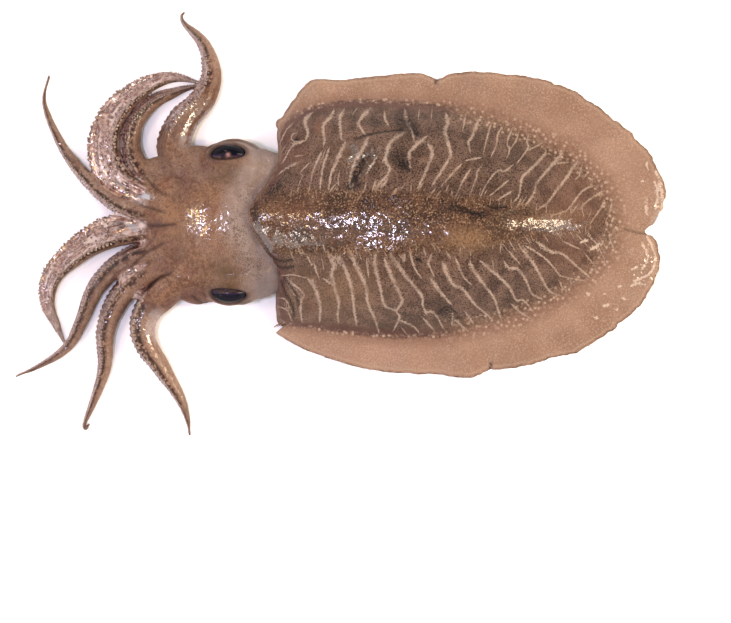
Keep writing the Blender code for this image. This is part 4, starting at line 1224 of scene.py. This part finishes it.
# ---- Eyes ----------------------------------------------------------------------------
def make_eyes(finish):
    for name, eye in EYES.items():
        tilt = Matrix.Rotation(math.radians(eye["tilt"]), 4, "X")
        bm = bmesh.new()
        add_ellipsoid(bm, eye["centre"], EYE_RADII, 96, tilt)
        piece = make_piece(name + "_globe", bm, finish, name)
        _, local = eye_distance(mesh_points(piece.data), eye)
        across = local[:, 1] * math.copysign(1, eye["centre"][1])
        # The pupil's notch, partly a painted highlight.
        notch_glint = np.exp(-(((local[:, 0] + 0.05) / 0.11) ** 2 + ((across + 0.58) / 0.15) ** 2)) * eye["notch_glint"]
        pupil = smoothstep((1.05 - np.hypot(local[:, 0] * 0.95, (across - 0.12) * 1.2)) / 0.2)
        pupil *= smoothstep((across + 0.82 - 0.35 * local[:, 0] ** 2) / 0.3)
        paint(piece.data, "pupil", pupil * (1 - notch_glint))
        paint(piece.data, "notch_glint", notch_glint)
        # The veil over the eye, partly painted sheen.
        inner = smoothstep((0.1 - across) / 0.8) * eye["veil_and_sheen"]
        outer = 0.5 * eye["veil_and_sheen"] * np.exp(-((across - 0.45) / 0.14) ** 2)
        paint(piece.data, "veil_and_sheen", np.maximum(inner, outer))


# ---- Floor, camera and light ---------------------------------------------------------
def make_floor(finish):
    bm = bmesh.new()
    bmesh.ops.create_circle(bm, cap_ends=True, segments=96, radius=FLOOR_RADIUS)
    mesh = bpy.data.meshes.new("floor")
    bm.to_mesh(mesh)
    bm.free()
    mesh.materials.append(finish)
    floor = bpy.data.objects.new("floor", mesh)
    bpy.context.scene.collection.objects.link(floor)


def make_camera():
    data = bpy.data.cameras.new("camera")
    data.sensor_width = SENSOR
    data.lens = LENS
    data.clip_end = 20
    camera = bpy.data.objects.new("camera", data)
    bpy.context.scene.collection.objects.link(camera)
    camera.location = (*VIEW_CENTRE, VIEW_WIDTH * LENS / SENSOR)
    bpy.context.scene.camera = camera


def add_lamp(name, place, size, length, power, colour):
    """An oval lamp aimed at the middle of the stage, its length upright."""
    data = bpy.data.lights.new(name, "AREA")
    data.shape = "ELLIPSE"
    data.size = size
    data.size_y = length
    data.energy = power
    data.color = colour
    lamp = bpy.data.objects.new(name, data)
    lamp.location = place
    lamp.rotation_euler = Vector(place).to_track_quat("Z", "Y").to_euler()
    lamp.visible_camera = False
    bpy.context.scene.collection.objects.link(lamp)


def light_scene():
    """A pale studio: bright round the sides, dark overhead, with small lamps that wet skin mirrors."""
    scene = bpy.context.scene
    scene.view_settings.view_transform = "Standard"
    world = bpy.data.worlds.new("studio")
    world.use_nodes = True
    tree = world.node_tree
    direction = tree.nodes.new("ShaderNodeTexCoord").outputs["Generated"]
    split = tree.nodes.new("ShaderNodeSeparateXYZ")
    tree.links.new(direction, split.inputs[0])
    dim = tree.nodes.new("ShaderNodeMapRange")
    dim.interpolation_type = "SMOOTHSTEP"
    for socket, value in zip(dim.inputs, (0, CEILING_STARTS, CEILING_FULL, WALL_LIGHT, CEILING_LIGHT)):
        socket.default_value = value
    tree.links.new(split.outputs["Z"], dim.inputs[0])
    tree.links.new(dim.outputs[0], tree.nodes["Background"].inputs["Strength"])
    tree.nodes["Background"].inputs["Color"].default_value = (1, 1, 1, 1)
    scene.world = world
    for lamp in LAMPS:
        add_lamp(*lamp)


def main():
    arms = {name: list(arm_stations(arm)) for name, arm in ARMS.items()}
    make_mantle()
    make_head(arms)
    make_suckers(arms, sucker_finish())
    make_eyes(eye_finish())
    make_floor(floor_finish())
    make_camera()
    light_scene()


main()
